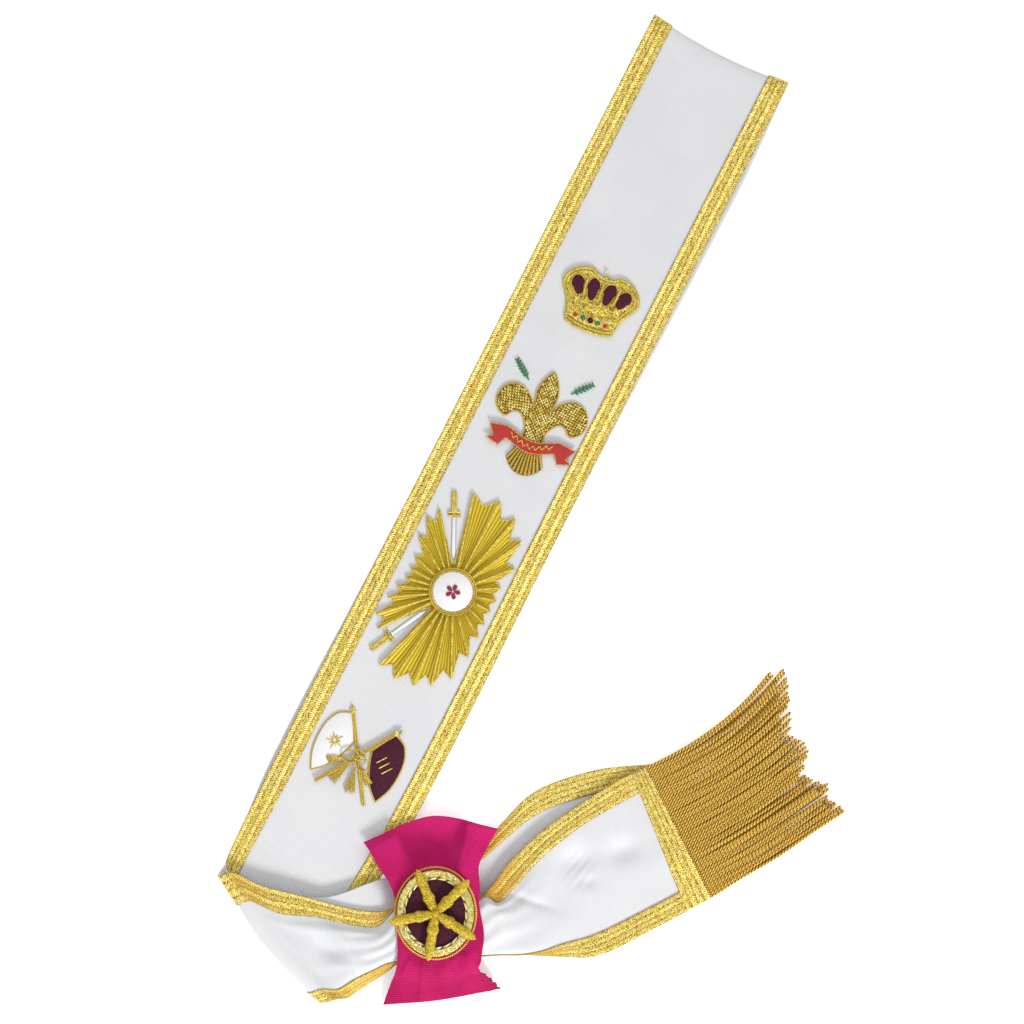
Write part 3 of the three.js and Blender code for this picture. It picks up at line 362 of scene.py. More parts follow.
# %% Bullion and silver
# In the matt, bright, chips, light and speckled ranges the palest golds are painted glints and the darkest
# painted shade, over the gold's own tone.
GOLD_TONES = {
    "matt": [(0.1, (0.22, 0.13, 0.005)), (0.45, (0.47, 0.31, 0.012)),
             (0.75, (0.70, 0.52, 0.03)), (1, (0.88, 0.76, 0.17))],
    "bright": [(0.1, (0.34, 0.24, 0.02)), (0.35, (0.66, 0.52, 0.09)),
               (0.6, (0.86, 0.74, 0.24)), (0.95, (1.0, 0.95, 0.60))],
    "chips": [(0.1, (0.30, 0.18, 0.012)), (0.4, (0.60, 0.42, 0.045)),
              (0.7, (0.88, 0.70, 0.16)), (0.95, (1.0, 0.93, 0.60))],
    "light": [(0.1, (0.30, 0.18, 0.01)), (0.4, (0.62, 0.44, 0.04)),
              (0.7, (0.85, 0.68, 0.13)), (1, (1.0, 0.92, 0.45))],
    "speckled": [(0.15, (0.14, 0.08, 0.004)), (0.42, (0.50, 0.34, 0.02)),
                 (0.7, (0.80, 0.62, 0.09)), (0.95, (1.0, 0.92, 0.45))],
    "brown": [(0.2, (0.06, 0.028, 0.003)), (0.8, (0.30, 0.17, 0.015))],
    "rays": [(0.15, (0.26, 0.16, 0.004)), (0.5, (0.52, 0.36, 0.012)), (0.85, (0.78, 0.60, 0.03))],
}
RAY_THREADS = 156


def bullion_finish(name, tones, cells_per_metre, relief=0.0003, **numbers):
    finish, tree, shader = new_finish(name, **numbers)
    place = object_place(tree)
    cells = add_node(tree, "TexVoronoi", {"Vector": place, "Scale": cells_per_metre})
    pick = add_node(tree, "SeparateColor", {"Color": cells.outputs["Color"]}).outputs["Red"]
    worn = noise(tree, place, 220, 2)
    tone = maths(tree, "MULTIPLY_ADD", pick, 0.6, maths(tree, "MULTIPLY", worn, 0.5))
    paint(tree, shader, tone, GOLD_TONES[tones])
    domes = maths(tree, "SUBTRACT", 1.0, cells.outputs["Distance"])
    bump(tree, shader, maths(tree, "MULTIPLY_ADD", pick, 0.5, domes), relief)
    return finish


matt_bullion = bullion_finish("gold_bullion", "matt", 1500, Roughness=0.42, Metallic=0.45)
bright_bullion = bullion_finish("bright_bullion", "bright", 800, 0.0002, Roughness=0.16, Metallic=0.8)
speckled_gold = bullion_finish("speckled_gold", "speckled", 1100, 0.0005, Roughness=0.35, Metallic=0.4)
coil_gold = bullion_finish("coil_gold", "light", 1800, Roughness=0.35, Metallic=0.4)
ridge_gold = bullion_finish("ridge_gold", "light", 1600, Roughness=0.32, Metallic=0.4)
brown_gold = bullion_finish("brown_gold", "brown", 900, Roughness=0.5, Metallic=0.3)
bright_chips = bullion_finish("bright_chips", "chips", 420, 0.0001, Roughness=0.4, Metallic=0.2)
dark_silver, _, _ = new_finish("dark_silver", Base_Color=(0.16, 0.17, 0.19, 1), Roughness=0.4, Metallic=0.5)
ray_gold, tree, shader = new_finish("ray_gold", Roughness=0.48, Metallic=0.35)
uv, east, north = woven_place(tree)
threads = ripple(tree, maths(tree, "ARCTAN2", north, east), 2 * math.pi / RAY_THREADS)
spots = noise(tree, uv, 1300, 2)
tone = maths(tree, "MULTIPLY_ADD", threads, 0.5, maths(tree, "MULTIPLY", spots, 0.65))
paint(tree, shader, tone, GOLD_TONES["rays"])
bump(tree, shader, threads, 0.0003)
print(len(GOLD_TONES), "ranges of gold, and a dark silver")

# %% [markdown]
# The ribbons follow the same few rows as the frame's solids, in millimetres. A row is a section across
# the ribbon with seven columns, and smooth curves run through the rows and across them. The curve is
# the centripetal one, which never loops where rows stand close, as they do in a fold.

# %% Curves through rows
RIBBON_WIDTH = 102
CLOTH = 1.2
LACE_WIDTH = 14.2
PANEL_LENGTH = 605.5
COLUMNS = [0, 0.14, 0.3, 0.5, 0.7, 0.86, 1]


def curve_through(points, at):
    """Points on the centripetal curve through a list of points, at counts such as 2.5."""
    points, at = np.asarray(points, float), np.asarray(at, float)
    first = np.clip(np.floor(at).astype(int), 0, len(points) - 2)
    share = (at - first).reshape(-1, *[1] * (points.ndim - 1))
    spread = np.concatenate([[2 * points[0] - points[1]], points, [2 * points[-1] - points[-2]]])
    p0, p1, p2, p3 = (spread[first + step] for step in range(4))
    gap = [((b - a) ** 2).sum(-1, keepdims=True) ** 0.25 for a, b in ((p0, p1), (p1, p2), (p2, p3))]
    middle = np.where(gap[1] < 1e-4, 1, gap[1])
    before = np.where(gap[0] < 1e-4, middle, gap[0])
    after = np.where(gap[2] < 1e-4, middle, gap[2])
    leave = ((p1 - p0) / before - (p2 - p0) / (before + middle) + (p2 - p1) / middle) * middle
    reach = ((p2 - p1) / middle - (p3 - p1) / (middle + after) + (p3 - p2) / after) * middle
    square = -3 * p1 + 3 * p2 - 2 * leave - reach
    cube = 2 * p1 - 2 * p2 + leave + reach
    return p1 + leave * share + square * share**2 + cube * share**3


class Surface:
    """A cloth surface through rows of points: run counts the rows, share goes from edge to edge."""

    def __init__(self, rows, columns=COLUMNS):
        self.rows, self.columns, self.last = np.array(rows, float), columns, len(rows) - 1

    def points(self, runs, shares):
        knots = np.swapaxes(curve_through(self.rows, runs), 0, 1)
        places = np.interp(shares, self.columns, range(len(self.columns)))
        return np.swapaxes(curve_through(knots, places), 0, 1)

    def grid(self, runs, shares, small=0.01):
        """The points of a grid on the surface, and the directions in which its face looks."""
        runs, shares = np.asarray(runs, float), np.asarray(shares, float)
        low, high = np.clip(runs - small, 0, self.last), np.clip(runs + small, 0, self.last)
        left, right = np.clip(shares - small, 0, 1), np.clip(shares + small, 0, 1)
        along = self.points(high, shares) - self.points(low, shares)
        across = self.points(runs, right) - self.points(runs, left)
        normal = np.cross(across, along)
        normal /= np.maximum(np.linalg.norm(normal, axis=-1, keepdims=True), 1e-9)
        return self.points(runs, shares), normal

    def even_runs(self, stops, share=0.5):
        """Runs at even steps: stops are pairs of a run and the step in mm after it."""
        runs = [stops[0][0]]
        for (start, step), (end, _) in zip(stops, stops[1:]):
            fine = np.linspace(start, end, 400)
            path = self.points(fine, [share])[:, 0]
            length = np.concatenate([[0], np.cumsum(np.linalg.norm(np.diff(path, axis=0), axis=1))])
            count = max(2, round(length[-1] / step))
            runs.extend(np.interp(np.linspace(0, length[-1], count + 1)[1:], length, fine))
        return np.array(runs)


low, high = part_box("medallion")
MEDALLION_PLACE = (0.046 * RIBBON_WIDTH, -0.6725 * PANEL_LENGTH)
ORIGIN = np.array([
    (low.x + high.x) / 2 / MM - MEDALLION_PLACE[0],
    (low.y + high.y) / 2 / MM - MEDALLION_PLACE[1],
    0,
])
print("panel's shoulder fold at", ORIGIN.round(2), "mm")

# %% [markdown]
# The sections themselves: how wide, how high, and how the cloth arches where it is gathered. The two
# ribbons turn at the shoulder and at the hip, and the back ribbon runs on under the bow as the upper
# tail.

# %% Sections of the ribbons
FORMS = {
    "flat": {"reach": COLUMNS, "rise": [0, 0, 0, 0, 0, 0, 0]},
    "turned": {"reach": [0, 0.21, 0.35, 0.54, 0.74, 0.9, 1], "rise": [0, 0, 0, 0, 0, 0, 0]},
    "spread": {"reach": [0, 0.235, 0.37, 0.56, 0.76, 0.91, 1], "rise": [0, 0, 0, 0, 0, 0, -1.6]},
    "draped": {"reach": [0, 0.22, 0.36, 0.56, 0.74, 0.89, 1], "rise": [0, 0.1, 0.8, 0.45, 1, 0.4, -1.9]},
    "drawn": {"reach": [0, 0.25, 0.39, 0.58, 0.75, 0.88, 1], "rise": [0, 0.15, 0.75, 1, 0.8, 0.4, -1.1]},
    "rolled": {"reach": [0.01, 0.02, 0.2, 0.5, 0.8, 0.98, 1], "rise": [0, 0.45, 0.88, 1, 0.88, 0.5, 0]},
    "gathered": {"reach": [0.04, 0, 0.16, 0.5, 0.84, 1, 0.96], "rise": [0, 0.5, 0.9, 1, 0.9, 0.5, 0]},
    "lifted": {"reach": [0, 0.08, 0.2, 0.5, 0.82, 1, 0.96], "rise": [0, 0.3, 0.84, 1, 0.88, 0.5, 0]},
    "pleated": {"reach": [0, 0.3, 0.35, 0.5, 0.79, 1, 0.96], "rise": [0, 0.1, 0.72, 1, 0.85, 0.46, 0]},
    "loosened": {"reach": [0, 0.3, 0.41, 0.58, 0.79, 0.99, 0.98], "rise": [0, 0.02, 0.4, 0.9, 0.75, 0.42, 0]},
    "unrolled": {"reach": [0, 0.23, 0.37, 0.56, 0.77, 0.96, 1], "rise": [0, 0.02, 0.35, 0.6, 0.7, 0.45, 0]},
    "opening": {"reach": [0, 0.18, 0.34, 0.53, 0.74, 0.9, 1], "rise": [0, 0.05, 0.35, 0.25, 0.7, 0.35, 0]},
}
LEVELS = {
    "back": 1.8, "front": 5.8, "return": 9.3, "band": 11.2, "bundle": 10.5, "underlay": 6.2,
    "under_tail": 0.6, "tail": 3.9, "under_fringe": 1.1, "upper_fringe": 3.9, "bow": 20.3,
}
BUNDLE_RISE = 8
SHOULDER_SAG = 3.5
HIP_BULGE = 6
FOLD_INSET = 2


def section(start, end, level, form="flat", arch=0.0, bow=0.0):
    start, end = np.array(start, float), np.array(end, float)
    across = end - start
    outward = np.array([across[1], -across[0]]) / np.linalg.norm(across)
    row = []
    for share, reach, rise in zip(COLUMNS, FORMS[form]["reach"], FORMS[form]["rise"]):
        place = start + across * reach + outward * bow * math.sin(math.pi * share)
        row.append((*place, level + arch * rise))
    return row


def hip(across, along):
    return np.array([across * RIBBON_WIDTH, along * RIBBON_WIDTH - PANEL_LENGTH])


def hip_row(start, end, level, form="flat", arch=0.0, bow=0.0):
    return section(hip(*start), hip(*end), level, form, arch * BUNDLE_RISE, bow * HIP_BULGE)


def shoulder_rows(side, target):
    middle = (LEVELS["back"] + LEVELS["front"]) / 2
    radius = (LEVELS["front"] - LEVELS["back"]) / 2
    rows = []
    for angle in (0, 15, 45, 90):
        turn = math.radians(angle)
        rise = max(radius * math.sin(turn), 0.15)
        along = radius * math.cos(turn)
        half = side * RIBBON_WIDTH / 2
        level = middle + math.copysign(rise, target - middle)
        rows.append(section((-half, along), (half, along), level, bow=side * SHOULDER_SAG))
    return rows


def fold_rows(under, over, low_level, high_level, bow, form="flat"):
    radius, level = (high_level - low_level) / 2, (high_level + low_level) / 2
    rows = []
    for index, angle in enumerate((-90, -90, -45, 0, 45, 90, 90)):
        turn = math.radians(angle)
        share = (angle + (45 * np.sign(angle) if index in (0, 6) else 0) + 90) / 180
        start = under[0] + (over[0] - under[0]) * share
        end = under[1] + (over[1] - under[1]) * share
        across = end - start
        outward = np.array([across[1], -across[0]]) / np.linalg.norm(across)
        reach = -radius * math.radians(45) if index in (0, 6) else radius * math.cos(turn)
        shift = outward * reach * math.copysign(1, bow)
        rows.append(section(start + shift, end + shift, level + radius * math.sin(turn), form, bow=bow))
    return rows


def panel_row(down, drift, side, level):
    ends = [((drift + half * side) * RIBBON_WIDTH, -down * PANEL_LENGTH) for half in (-0.5, 0.5)]
    return section(*ends, level)


def between(first, second, share):
    return first + (second - first) * share


print("section forms:", ", ".join(FORMS))

# %% The three ribbon surfaces
BACK_DRIFT = [(0.04, 0.012), (0.12, 0.03), (0.4, 0.012), (0.7, -0.008), (0.94, -0.02)]
HIP_UNDER = [hip(-0.48, -0.375), hip(0.49, -0.815)]
HIP_OVER = [hip(-0.452, -0.405), hip(0.55, -0.845)]
RETURN_TUCK = 0.08
BAND = [
    {"start": (-0.2, -0.366), "end": (0.64, -0.775), "level": "band", "arch": 0.25, "form": "spread",
     "bow": 0.6},
    {"start": (0.1, -0.3), "end": (0.69, -0.685), "level": "band", "arch": 0.3, "form": "draped"},
    {"start": (0.368, -0.243), "end": (0.755, -0.57), "level": "band", "arch": 0.45, "form": "drawn"},
    {"start": (0.54, -0.185), "end": (0.8, -0.485), "level": "band", "arch": 0.6, "form": "drawn"},
    {"start": (0.67, -0.1), "end": (0.84, -0.4), "level": "bundle", "arch": 0.9, "form": "rolled"},
    {"start": (0.88, 0.07), "end": (1.06, -0.25), "level": "bundle", "arch": 1, "form": "gathered"},
    {"start": (1.134, 0.2), "end": (1.314, -0.105), "level": "bundle", "arch": 0.9, "form": "gathered"},
]
UPPER_TAIL = [
    {"start": (1.15, 0.27), "end": (1.365, -0.075), "fall": 0.1, "arch": 0.82, "form": "lifted"},
    {"start": (1.167, 0.36), "end": (1.43, -0.04), "fall": 0.22, "arch": 0.75, "form": "pleated"},
    {"start": (1.185, 0.49), "end": (1.545, 0.012), "fall": 0.42, "arch": 0.6, "form": "loosened"},
    {"start": (1.235, 0.645), "end": (1.67, 0.068), "fall": 0.56, "arch": 0.48, "form": "unrolled"},
    {"start": (1.3, 0.81), "end": (1.8, 0.12), "fall": 0.68, "arch": 0.32, "form": "opening"},
    {"start": (1.428, 1.055), "end": (1.99, 0.22), "fall": 0.86},
    {"start": (1.575, 1.3), "end": (2.25, 0.555), "fall": 0.97},
    {"start": (1.714, 1.488), "end": (2.498, 0.912), "fall": 1},
]
RETURN = [
    {"start": (0.515, -0.74), "end": (-0.1, -0.36), "fall": 0},
    {"start": (0.59, -0.6), "end": (0.204, -0.25), "fall": 0},
    {"start": (0.68, -0.45), "end": (0.46, 0.005), "fall": 0},
    {"start": (0.79, -0.34), "end": (0.6, 0.13), "fall": 0.6},
    {"start": (0.93, -0.1), "end": (0.8, 0.27), "fall": 1},
]
UNDER_TAIL = [
    {"start": (0.84, 0.3), "end": (0.985, -0.07), "fall": 0},
    {"start": (0.97, 0.5), "end": (1.27, -0.02), "fall": 0.25},
    {"start": (1.035, 0.73), "end": (1.5, 0.08), "fall": 0.55},
    {"start": (1.13, 1.0), "end": (1.77, 0.2), "fall": 0.8},
    {"start": (1.42, 1.31), "end": (2.1, 0.48), "fall": 0.95},
    {"start": (1.745, 1.525), "end": (2.505, 0.94), "fall": 1},
]


def falling(rows, high_level, low_level):
    """Hip rows whose level falls from one height to another."""
    made = []
    for row in rows:
        form = dict(row)
        level = between(high_level, low_level, form.pop("fall"))
        made.append(hip_row(level=level, **form))
    return made


rear = Surface(
    shoulder_rows(1, LEVELS["back"])
    + [panel_row(down, drift, 1, LEVELS["back"]) for down, drift in BACK_DRIFT]
    + fold_rows(HIP_UNDER, HIP_OVER, LEVELS["back"], LEVELS["band"], HIP_BULGE, "turned")
    + [hip_row(**{**row, "level": LEVELS[row["level"]]}) for row in BAND]
    + falling(UPPER_TAIL, LEVELS["bundle"], LEVELS["tail"]))
line = (HIP_UNDER[1] - HIP_UNDER[0]) / np.linalg.norm(HIP_UNDER[1] - HIP_UNDER[0])
inward = np.array([-line[1], line[0]]) * FOLD_INSET
return_under = [between(HIP_UNDER[1], HIP_UNDER[0], RETURN_TUCK) + inward, HIP_UNDER[0] + inward]
return_over = [point + HIP_OVER[1] - HIP_UNDER[1] for point in return_under]
front = Surface(
    shoulder_rows(-1, LEVELS["front"])
    + [panel_row(down, 0, -1, LEVELS["front"]) for down in (0.06, 0.5, 0.94)]
    + fold_rows(return_under, return_over, LEVELS["front"], LEVELS["return"], -HIP_BULGE)
    + falling(RETURN, LEVELS["return"], LEVELS["underlay"]))
under_tail = Surface(falling(UNDER_TAIL, LEVELS["underlay"], LEVELS["under_tail"]))
print("rows of rear, front and under tail:", rear.last + 1, front.last + 1, under_tail.last + 1)

# %% [markdown]
# A piece of cloth is a flat grid whose points are moved on to its surface. The grid keeps a map in
# metres along and across the cloth, so ribs and stitches stay their own size in every fold. Dents and
# creases are small hills over places of the picture, added straight up.

# %% Cloth from a grid
CLOTH_SHARES = np.linspace(0, 1, 61)


def finish_piece(name, mesh, finish, replaced=()):
    """Links a piece, gives it its finish and its places in the frame."""
    made = bpy.data.objects.new(name, mesh)
    bpy.context.scene.collection.objects.link(made)
    mesh.materials.append(finish)
    mesh.shade_smooth()
    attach(made, "root")
    if replaced:
        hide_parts(*replaced)
    return made


def set_map(mesh, values):
    """Writes a map from one pair of numbers for each vertex."""
    corners = np.zeros(len(mesh.loops), int)
    mesh.loops.foreach_get("vertex_index", corners)
    layer = mesh.uv_layers.new(name="weave")
    layer.data.foreach_set("uv", np.asarray(values, float)[corners].ravel())


def grid_mesh(name, places, values):
    """A grid mesh, its points moved to places[row, column] in mm, with values as its map."""
    rows, columns = places.shape[:2]
    bm = bmesh.new()
    bmesh.ops.create_grid(bm, x_segments=columns - 1, y_segments=rows - 1, size=1)
    mesh = bpy.data.meshes.new(name)
    bm.to_mesh(mesh)
    bm.free()
    flat = np.zeros(len(mesh.vertices) * 3)
    mesh.vertices.foreach_get("co", flat)
    flat = flat.reshape(-1, 3)
    column = np.rint((flat[:, 0] + 1) / 2 * (columns - 1)).astype(int)
    row = np.rint((flat[:, 1] + 1) / 2 * (rows - 1)).astype(int)
    moved = (places[row, column] + ORIGIN) * MM
    mesh.vertices.foreach_set("co", moved.ravel())
    mesh.update()
    set_map(mesh, values[row, column])
    return mesh, row, column


def lengths_along(points):
    """Metres along each column of a grid of points in mm."""
    steps = np.linalg.norm(np.diff(points, axis=0), axis=-1)
    return np.concatenate([np.zeros((1, points.shape[1])), np.cumsum(steps, axis=0)]) * MM


def weave_map(points, shares, width=RIBBON_WIDTH):
    """The weave's map: metres along the middle and metres across."""
    middle = lengths_along(points)[:, points.shape[1] // 2]
    across = np.asarray(shares) * width * MM
    return np.stack(np.broadcast_arrays(middle[:, None], across[None, :]), axis=-1)


def thicken(piece, thickness):
    """Gives a sheet its thickness in mm, half to each side."""
    wall = piece.modifiers.new("thickness", "SOLIDIFY")
    wall.thickness, wall.offset = thickness * MM, 0


def lowered(surface, runs, shares, relief):
    """The points of a cloth with its dents, and the directions in which its face looks."""
    points, normal = surface.grid(runs, shares)
    return points + relief(points, runs, shares)[..., None] * (0, 0, 1), normal


def cloth_piece(name, surface, runs, node, relief):
    points, _ = lowered(surface, runs, CLOTH_SHARES, relief)
    mesh, _, _ = grid_mesh(name, points, weave_map(points, CLOTH_SHARES))
    made = finish_piece(name, mesh, faille, [node])
    thicken(made, CLOTH)
    print(name, "has", len(mesh.polygons), "squares")
    return made


print("cloth helpers ready")

# %% [markdown]
# Real cloth is never quite even. Where it is drawn together under the bow it stands in soft pleats,
# and the tail has a dent with fine creases where the roll of cloth opens out. Each hill below has its
# place, the heading of its long side, its two half widths and its rise, all in millimetres.

# %% Dents and creases
TAIL_HILLS = [
    {"x": 162, "y": -532, "heading": 50, "long": 12, "wide": 9, "rise": -3.8},
    {"x": 174, "y": -541, "heading": 30, "long": 8, "wide": 5, "rise": -1.6},
    {"x": 160, "y": -531, "heading": 75, "long": 9, "wide": 1.5, "rise": 0.5},
    {"x": 164, "y": -534, "heading": 77, "long": 11, "wide": 1.5, "rise": 0.6},
    {"x": 168.5, "y": -537, "heading": 79, "long": 11, "wide": 1.5, "rise": 0.6},
    {"x": 173, "y": -541, "heading": 80, "long": 9, "wide": 1.5, "rise": 0.5},
    {"x": 187, "y": -511, "heading": 40, "long": 11, "wide": 8, "rise": -2.8},
    {"x": 145, "y": -570, "heading": 8, "long": 16, "wide": 3, "rise": -1.8},
    {"x": 214, "y": -505, "heading": 40, "long": 26, "wide": 10, "rise": 0.5},
]
BAND_HILLS = [
    {"x": 38, "y": -661, "heading": -8, "long": 12, "wide": 5, "rise": -2.2},
    {"x": 46, "y": -652, "heading": -30, "long": 16, "wide": 3, "rise": 1.5},
    {"x": 18, "y": -655, "heading": 14, "long": 30, "wide": 3.5, "rise": 0.8},
    {"x": 52, "y": -642, "heading": 22, "long": 20, "wide": 2.5, "rise": 0.8},
    {"x": 60, "y": -662, "heading": 30, "long": 16, "wide": 3, "rise": 0.8},
    {"x": 8, "y": -668, "heading": -16, "long": 24, "wide": 4, "rise": 0.5},
]
POCKET_DIP = 2.4


def hills(points, table):
    rise = np.zeros(points.shape[:2])
    for hill in table:
        turn = math.radians(hill["heading"])
        east, north = points[..., 0] - hill["x"], points[..., 1] - hill["y"]
        along = (east * math.cos(turn) + north * math.sin(turn)) / hill["long"]
        across = (north * math.cos(turn) - east * math.sin(turn)) / hill["wide"]
        rise += hill["rise"] * np.exp(-(along**2) - across**2)
    return rise


def rear_relief(points, runs, shares):
    """Pleats that gather towards the bow and open beyond it, with the band's and tail's own dents."""
    gather = np.interp(runs, [15.5, 17.5, 19.5, 24, 27], [0, 0.5, 0.9, 0.8, 0])[:, None]
    middle = np.clip(np.minimum(shares - 0.14, 0.93 - shares) / 0.12, 0, 1)[None, :]
    phase = 2 * math.pi * (5.2 * np.asarray(shares)[None, :] + 0.12 * np.asarray(runs)[:, None])
    pleats = gather * middle * (0.5 + 0.5 * np.sin(phase))
    face_up = np.clip((np.asarray(runs) - 15) / 0.6, 0, 1)[:, None]
    return face_up * (pleats + hills(points, TAIL_HILLS) + hills(points, BAND_HILLS) * middle)


def front_relief(points, runs, shares):
    """The front ribbon dips where it goes into the pocket of the hip fold."""
    pocket = np.interp(-points[..., 1], [585, 632, 660], [0, 1, 1])
    facing = (np.asarray(runs) < 7.5)[:, None]
    soft = 0.35 * np.sin(points[..., 1] / 23) * np.sin(points[..., 0] / 31 + 0.6)
    clear = np.interp(-points[..., 1], [0, 30, 130, 160], [1, 1, 0.3, 0])
    return facing * (soft * clear - POCKET_DIP * pocket**1.5)


def tail_relief(points, runs, shares):
    fan = np.interp(runs, [0, 1.5, 3], [0.8, 0.5, 0])[:, None]
    return fan * np.sin(2 * math.pi * 3.2 * np.asarray(shares)[None, :]) * 0.6


REAR_STOPS = [(0, 1.5), (3, 12), (8, 6), (9, 1.1), (16, 1.4), (30, 1.4)]
FRONT_STOPS = [(0, 1.2), (3, 4), (6, 3), (7, 1.1), (13, 2), (18, 2)]
UNDER_STOPS = [(0, 2), (5, 2)]
rear_runs, front_runs = rear.even_runs(REAR_STOPS), front.even_runs(FRONT_STOPS)
under_runs = under_tail.even_runs(UNDER_STOPS)
rear_ribbon = cloth_piece("rear_ribbon_cloth", rear, rear_runs, "rear_ribbon", rear_relief)
front_ribbon = cloth_piece("front_ribbon_cloth", front, front_runs, "front_ribbon", front_relief)
under_cloth = cloth_piece("under_tail_cloth", under_tail, under_runs, "under_tail", tail_relief)

# %% [markdown]
# The lace lies on the ribbon's edge and follows every fold of it, so it is a grid on the same surface,
# lifted by half its thickness. Four lengthwise ribs and a thin selvage are in the shape. An attribute
# says where the lace turns towards the bow, and there its gold is painted a deeper orange, a painted shade.

# %% Lace along the edges
LACE_SHARE = LACE_WIDTH / RIBBON_WIDTH
LACE_THICKNESS = 0.62
LACE_RISE = 0.1
RIB_RISE = 0.26
LACE_PLACES = np.linspace(0, 1, 25)
SMALL_RUN = 0.01
FOLD_RUN = 9.5


def rib_profile(place):
    """Height of the lace's face over its width, from 0 to 1."""
    ribs = np.abs(np.sin(4 * math.pi * np.asarray(place))) ** 0.7
    edge = np.clip(np.minimum(place, 1 - np.asarray(place)) / 0.04, 0.2, 1)
    return RIB_RISE * ribs * edge


def lace_piece(node, surface, runs, shares, place_across, relief, turned, crosses=False):
    """A lace on its ribbon, with ribs in its face, a map in metres and the share of painted shade where it
    turns.
    """
    points, normal = lowered(surface, runs, shares, relief)
    height = CLOTH / 2 + LACE_RISE + LACE_THICKNESS / 2 + rib_profile(place_across)
    points = points + normal * height[..., None]
    length = lengths_along(np.swapaxes(points, 0, 1)).T if crosses else lengths_along(points)
    values = np.stack([length, place_across * LACE_WIDTH * MM], axis=-1)
    mesh, row, column = grid_mesh(node + "_braid", points, values)
    # The turned attribute holds the share of painted orange shade at each point.
    layer = mesh.attributes.new("turned", "FLOAT", "POINT")
    layer.data.foreach_set("value", turned[row, column])
    made = finish_piece(node + "_braid", mesh, gold_lace, [node])
    thicken(made, LACE_THICKNESS)
    return made


def side_lace(node, surface, runs, edge, relief, turns=((0, 0), (1, 0))):
    """Lace along the first or last edge of a surface."""
    shares = LACE_PLACES * LACE_SHARE if edge == "first" else 1 - LACE_SHARE + LACE_PLACES * LACE_SHARE
    across = np.broadcast_to(LACE_PLACES[None, :], (len(runs), len(shares)))
    # The turns give the share of painted orange shade along the lace.
    turned = np.interp(runs, *zip(*turns))[:, None] * np.ones(len(shares))
    return lace_piece(node, surface, runs, shares, across, relief, turned)


def end_lace(node, surface, start, relief):
    """Lace across the end of a tail, over the ends of the side laces."""
    runs = np.linspace(start, surface.last, len(LACE_PLACES))
    shares = np.linspace(0, 1, 76)
    across = np.broadcast_to(LACE_PLACES[:, None], (len(runs), len(shares)))
    return lace_piece(node, surface, runs, shares, across, relief, np.zeros(across.shape), crosses=True)


def run_before_end(surface, length):
    fine = np.linspace(surface.last - 1.5, surface.last, 600)
    path = surface.points(fine, [0.5])[:, 0]
    left = np.cumsum(np.linalg.norm(np.diff(path[::-1], axis=0), axis=1))
    return float(fine[::-1][1:][np.searchsorted(left, length)])


rear_end, under_end = run_before_end(rear, LACE_WIDTH), run_before_end(under_tail, LACE_WIDTH)
rear_side_runs = np.append(rear_runs[rear_runs < rear_end - SMALL_RUN], rear_end)
under_side_runs = np.append(under_runs[under_runs < under_end - SMALL_RUN], under_end)
front_lace_runs = front_runs[front_runs <= FOLD_RUN]
# Shares of painted orange shade along each lace, by run.
REAR_PAINTED_SHADE = [(14, 0), (15.2, 0.55), (16.2, 0.1), (18.5, 0.1), (20, 0.8), (24, 0.85), (26.6, 0)]
LOWER_PAINTED_SHADE = [(14, 0), (15.2, 0.6), (17, 0.4), (20, 0.9), (25.5, 0.9), (27.3, 0.1), (28, 0)]
UNDER_PAINTED_SHADE = [(0, 0.9), (1.6, 0.8), (2.6, 0)]
laces = [
    side_lace("rear_lace_upper", rear, rear_side_runs, "first", rear_relief, REAR_PAINTED_SHADE),
    side_lace("rear_lace_lower", rear, rear_side_runs, "last", rear_relief, LOWER_PAINTED_SHADE),
    end_lace("rear_lace_end", rear, rear_end - SMALL_RUN, rear_relief),
    side_lace("front_lace_right", front, front_lace_runs, "first", front_relief),
    side_lace("front_lace_left", front, front_lace_runs, "last", front_relief),
    side_lace("under_lace_upper", under_tail, under_side_runs, "first", tail_relief, UNDER_PAINTED_SHADE),
    side_lace("under_lace_lower", under_tail, under_side_runs, "last", tail_relief, UNDER_PAINTED_SHADE),
    end_lace("under_lace_end", under_tail, under_end - SMALL_RUN, tail_relief),
]
print(len(laces), "laces,", sum(len(lace.data.polygons) for lace in laces), "squares")

# %% [markdown]
# A fringe is a row of twisted cords that hang from the tail's end and fan out. Each cord is a tube of
# two strands: a grid wrapped round its path, whose section is a figure of two lobes that turns as it
# goes. The cords lie on each other here and there, and their ends are uneven.

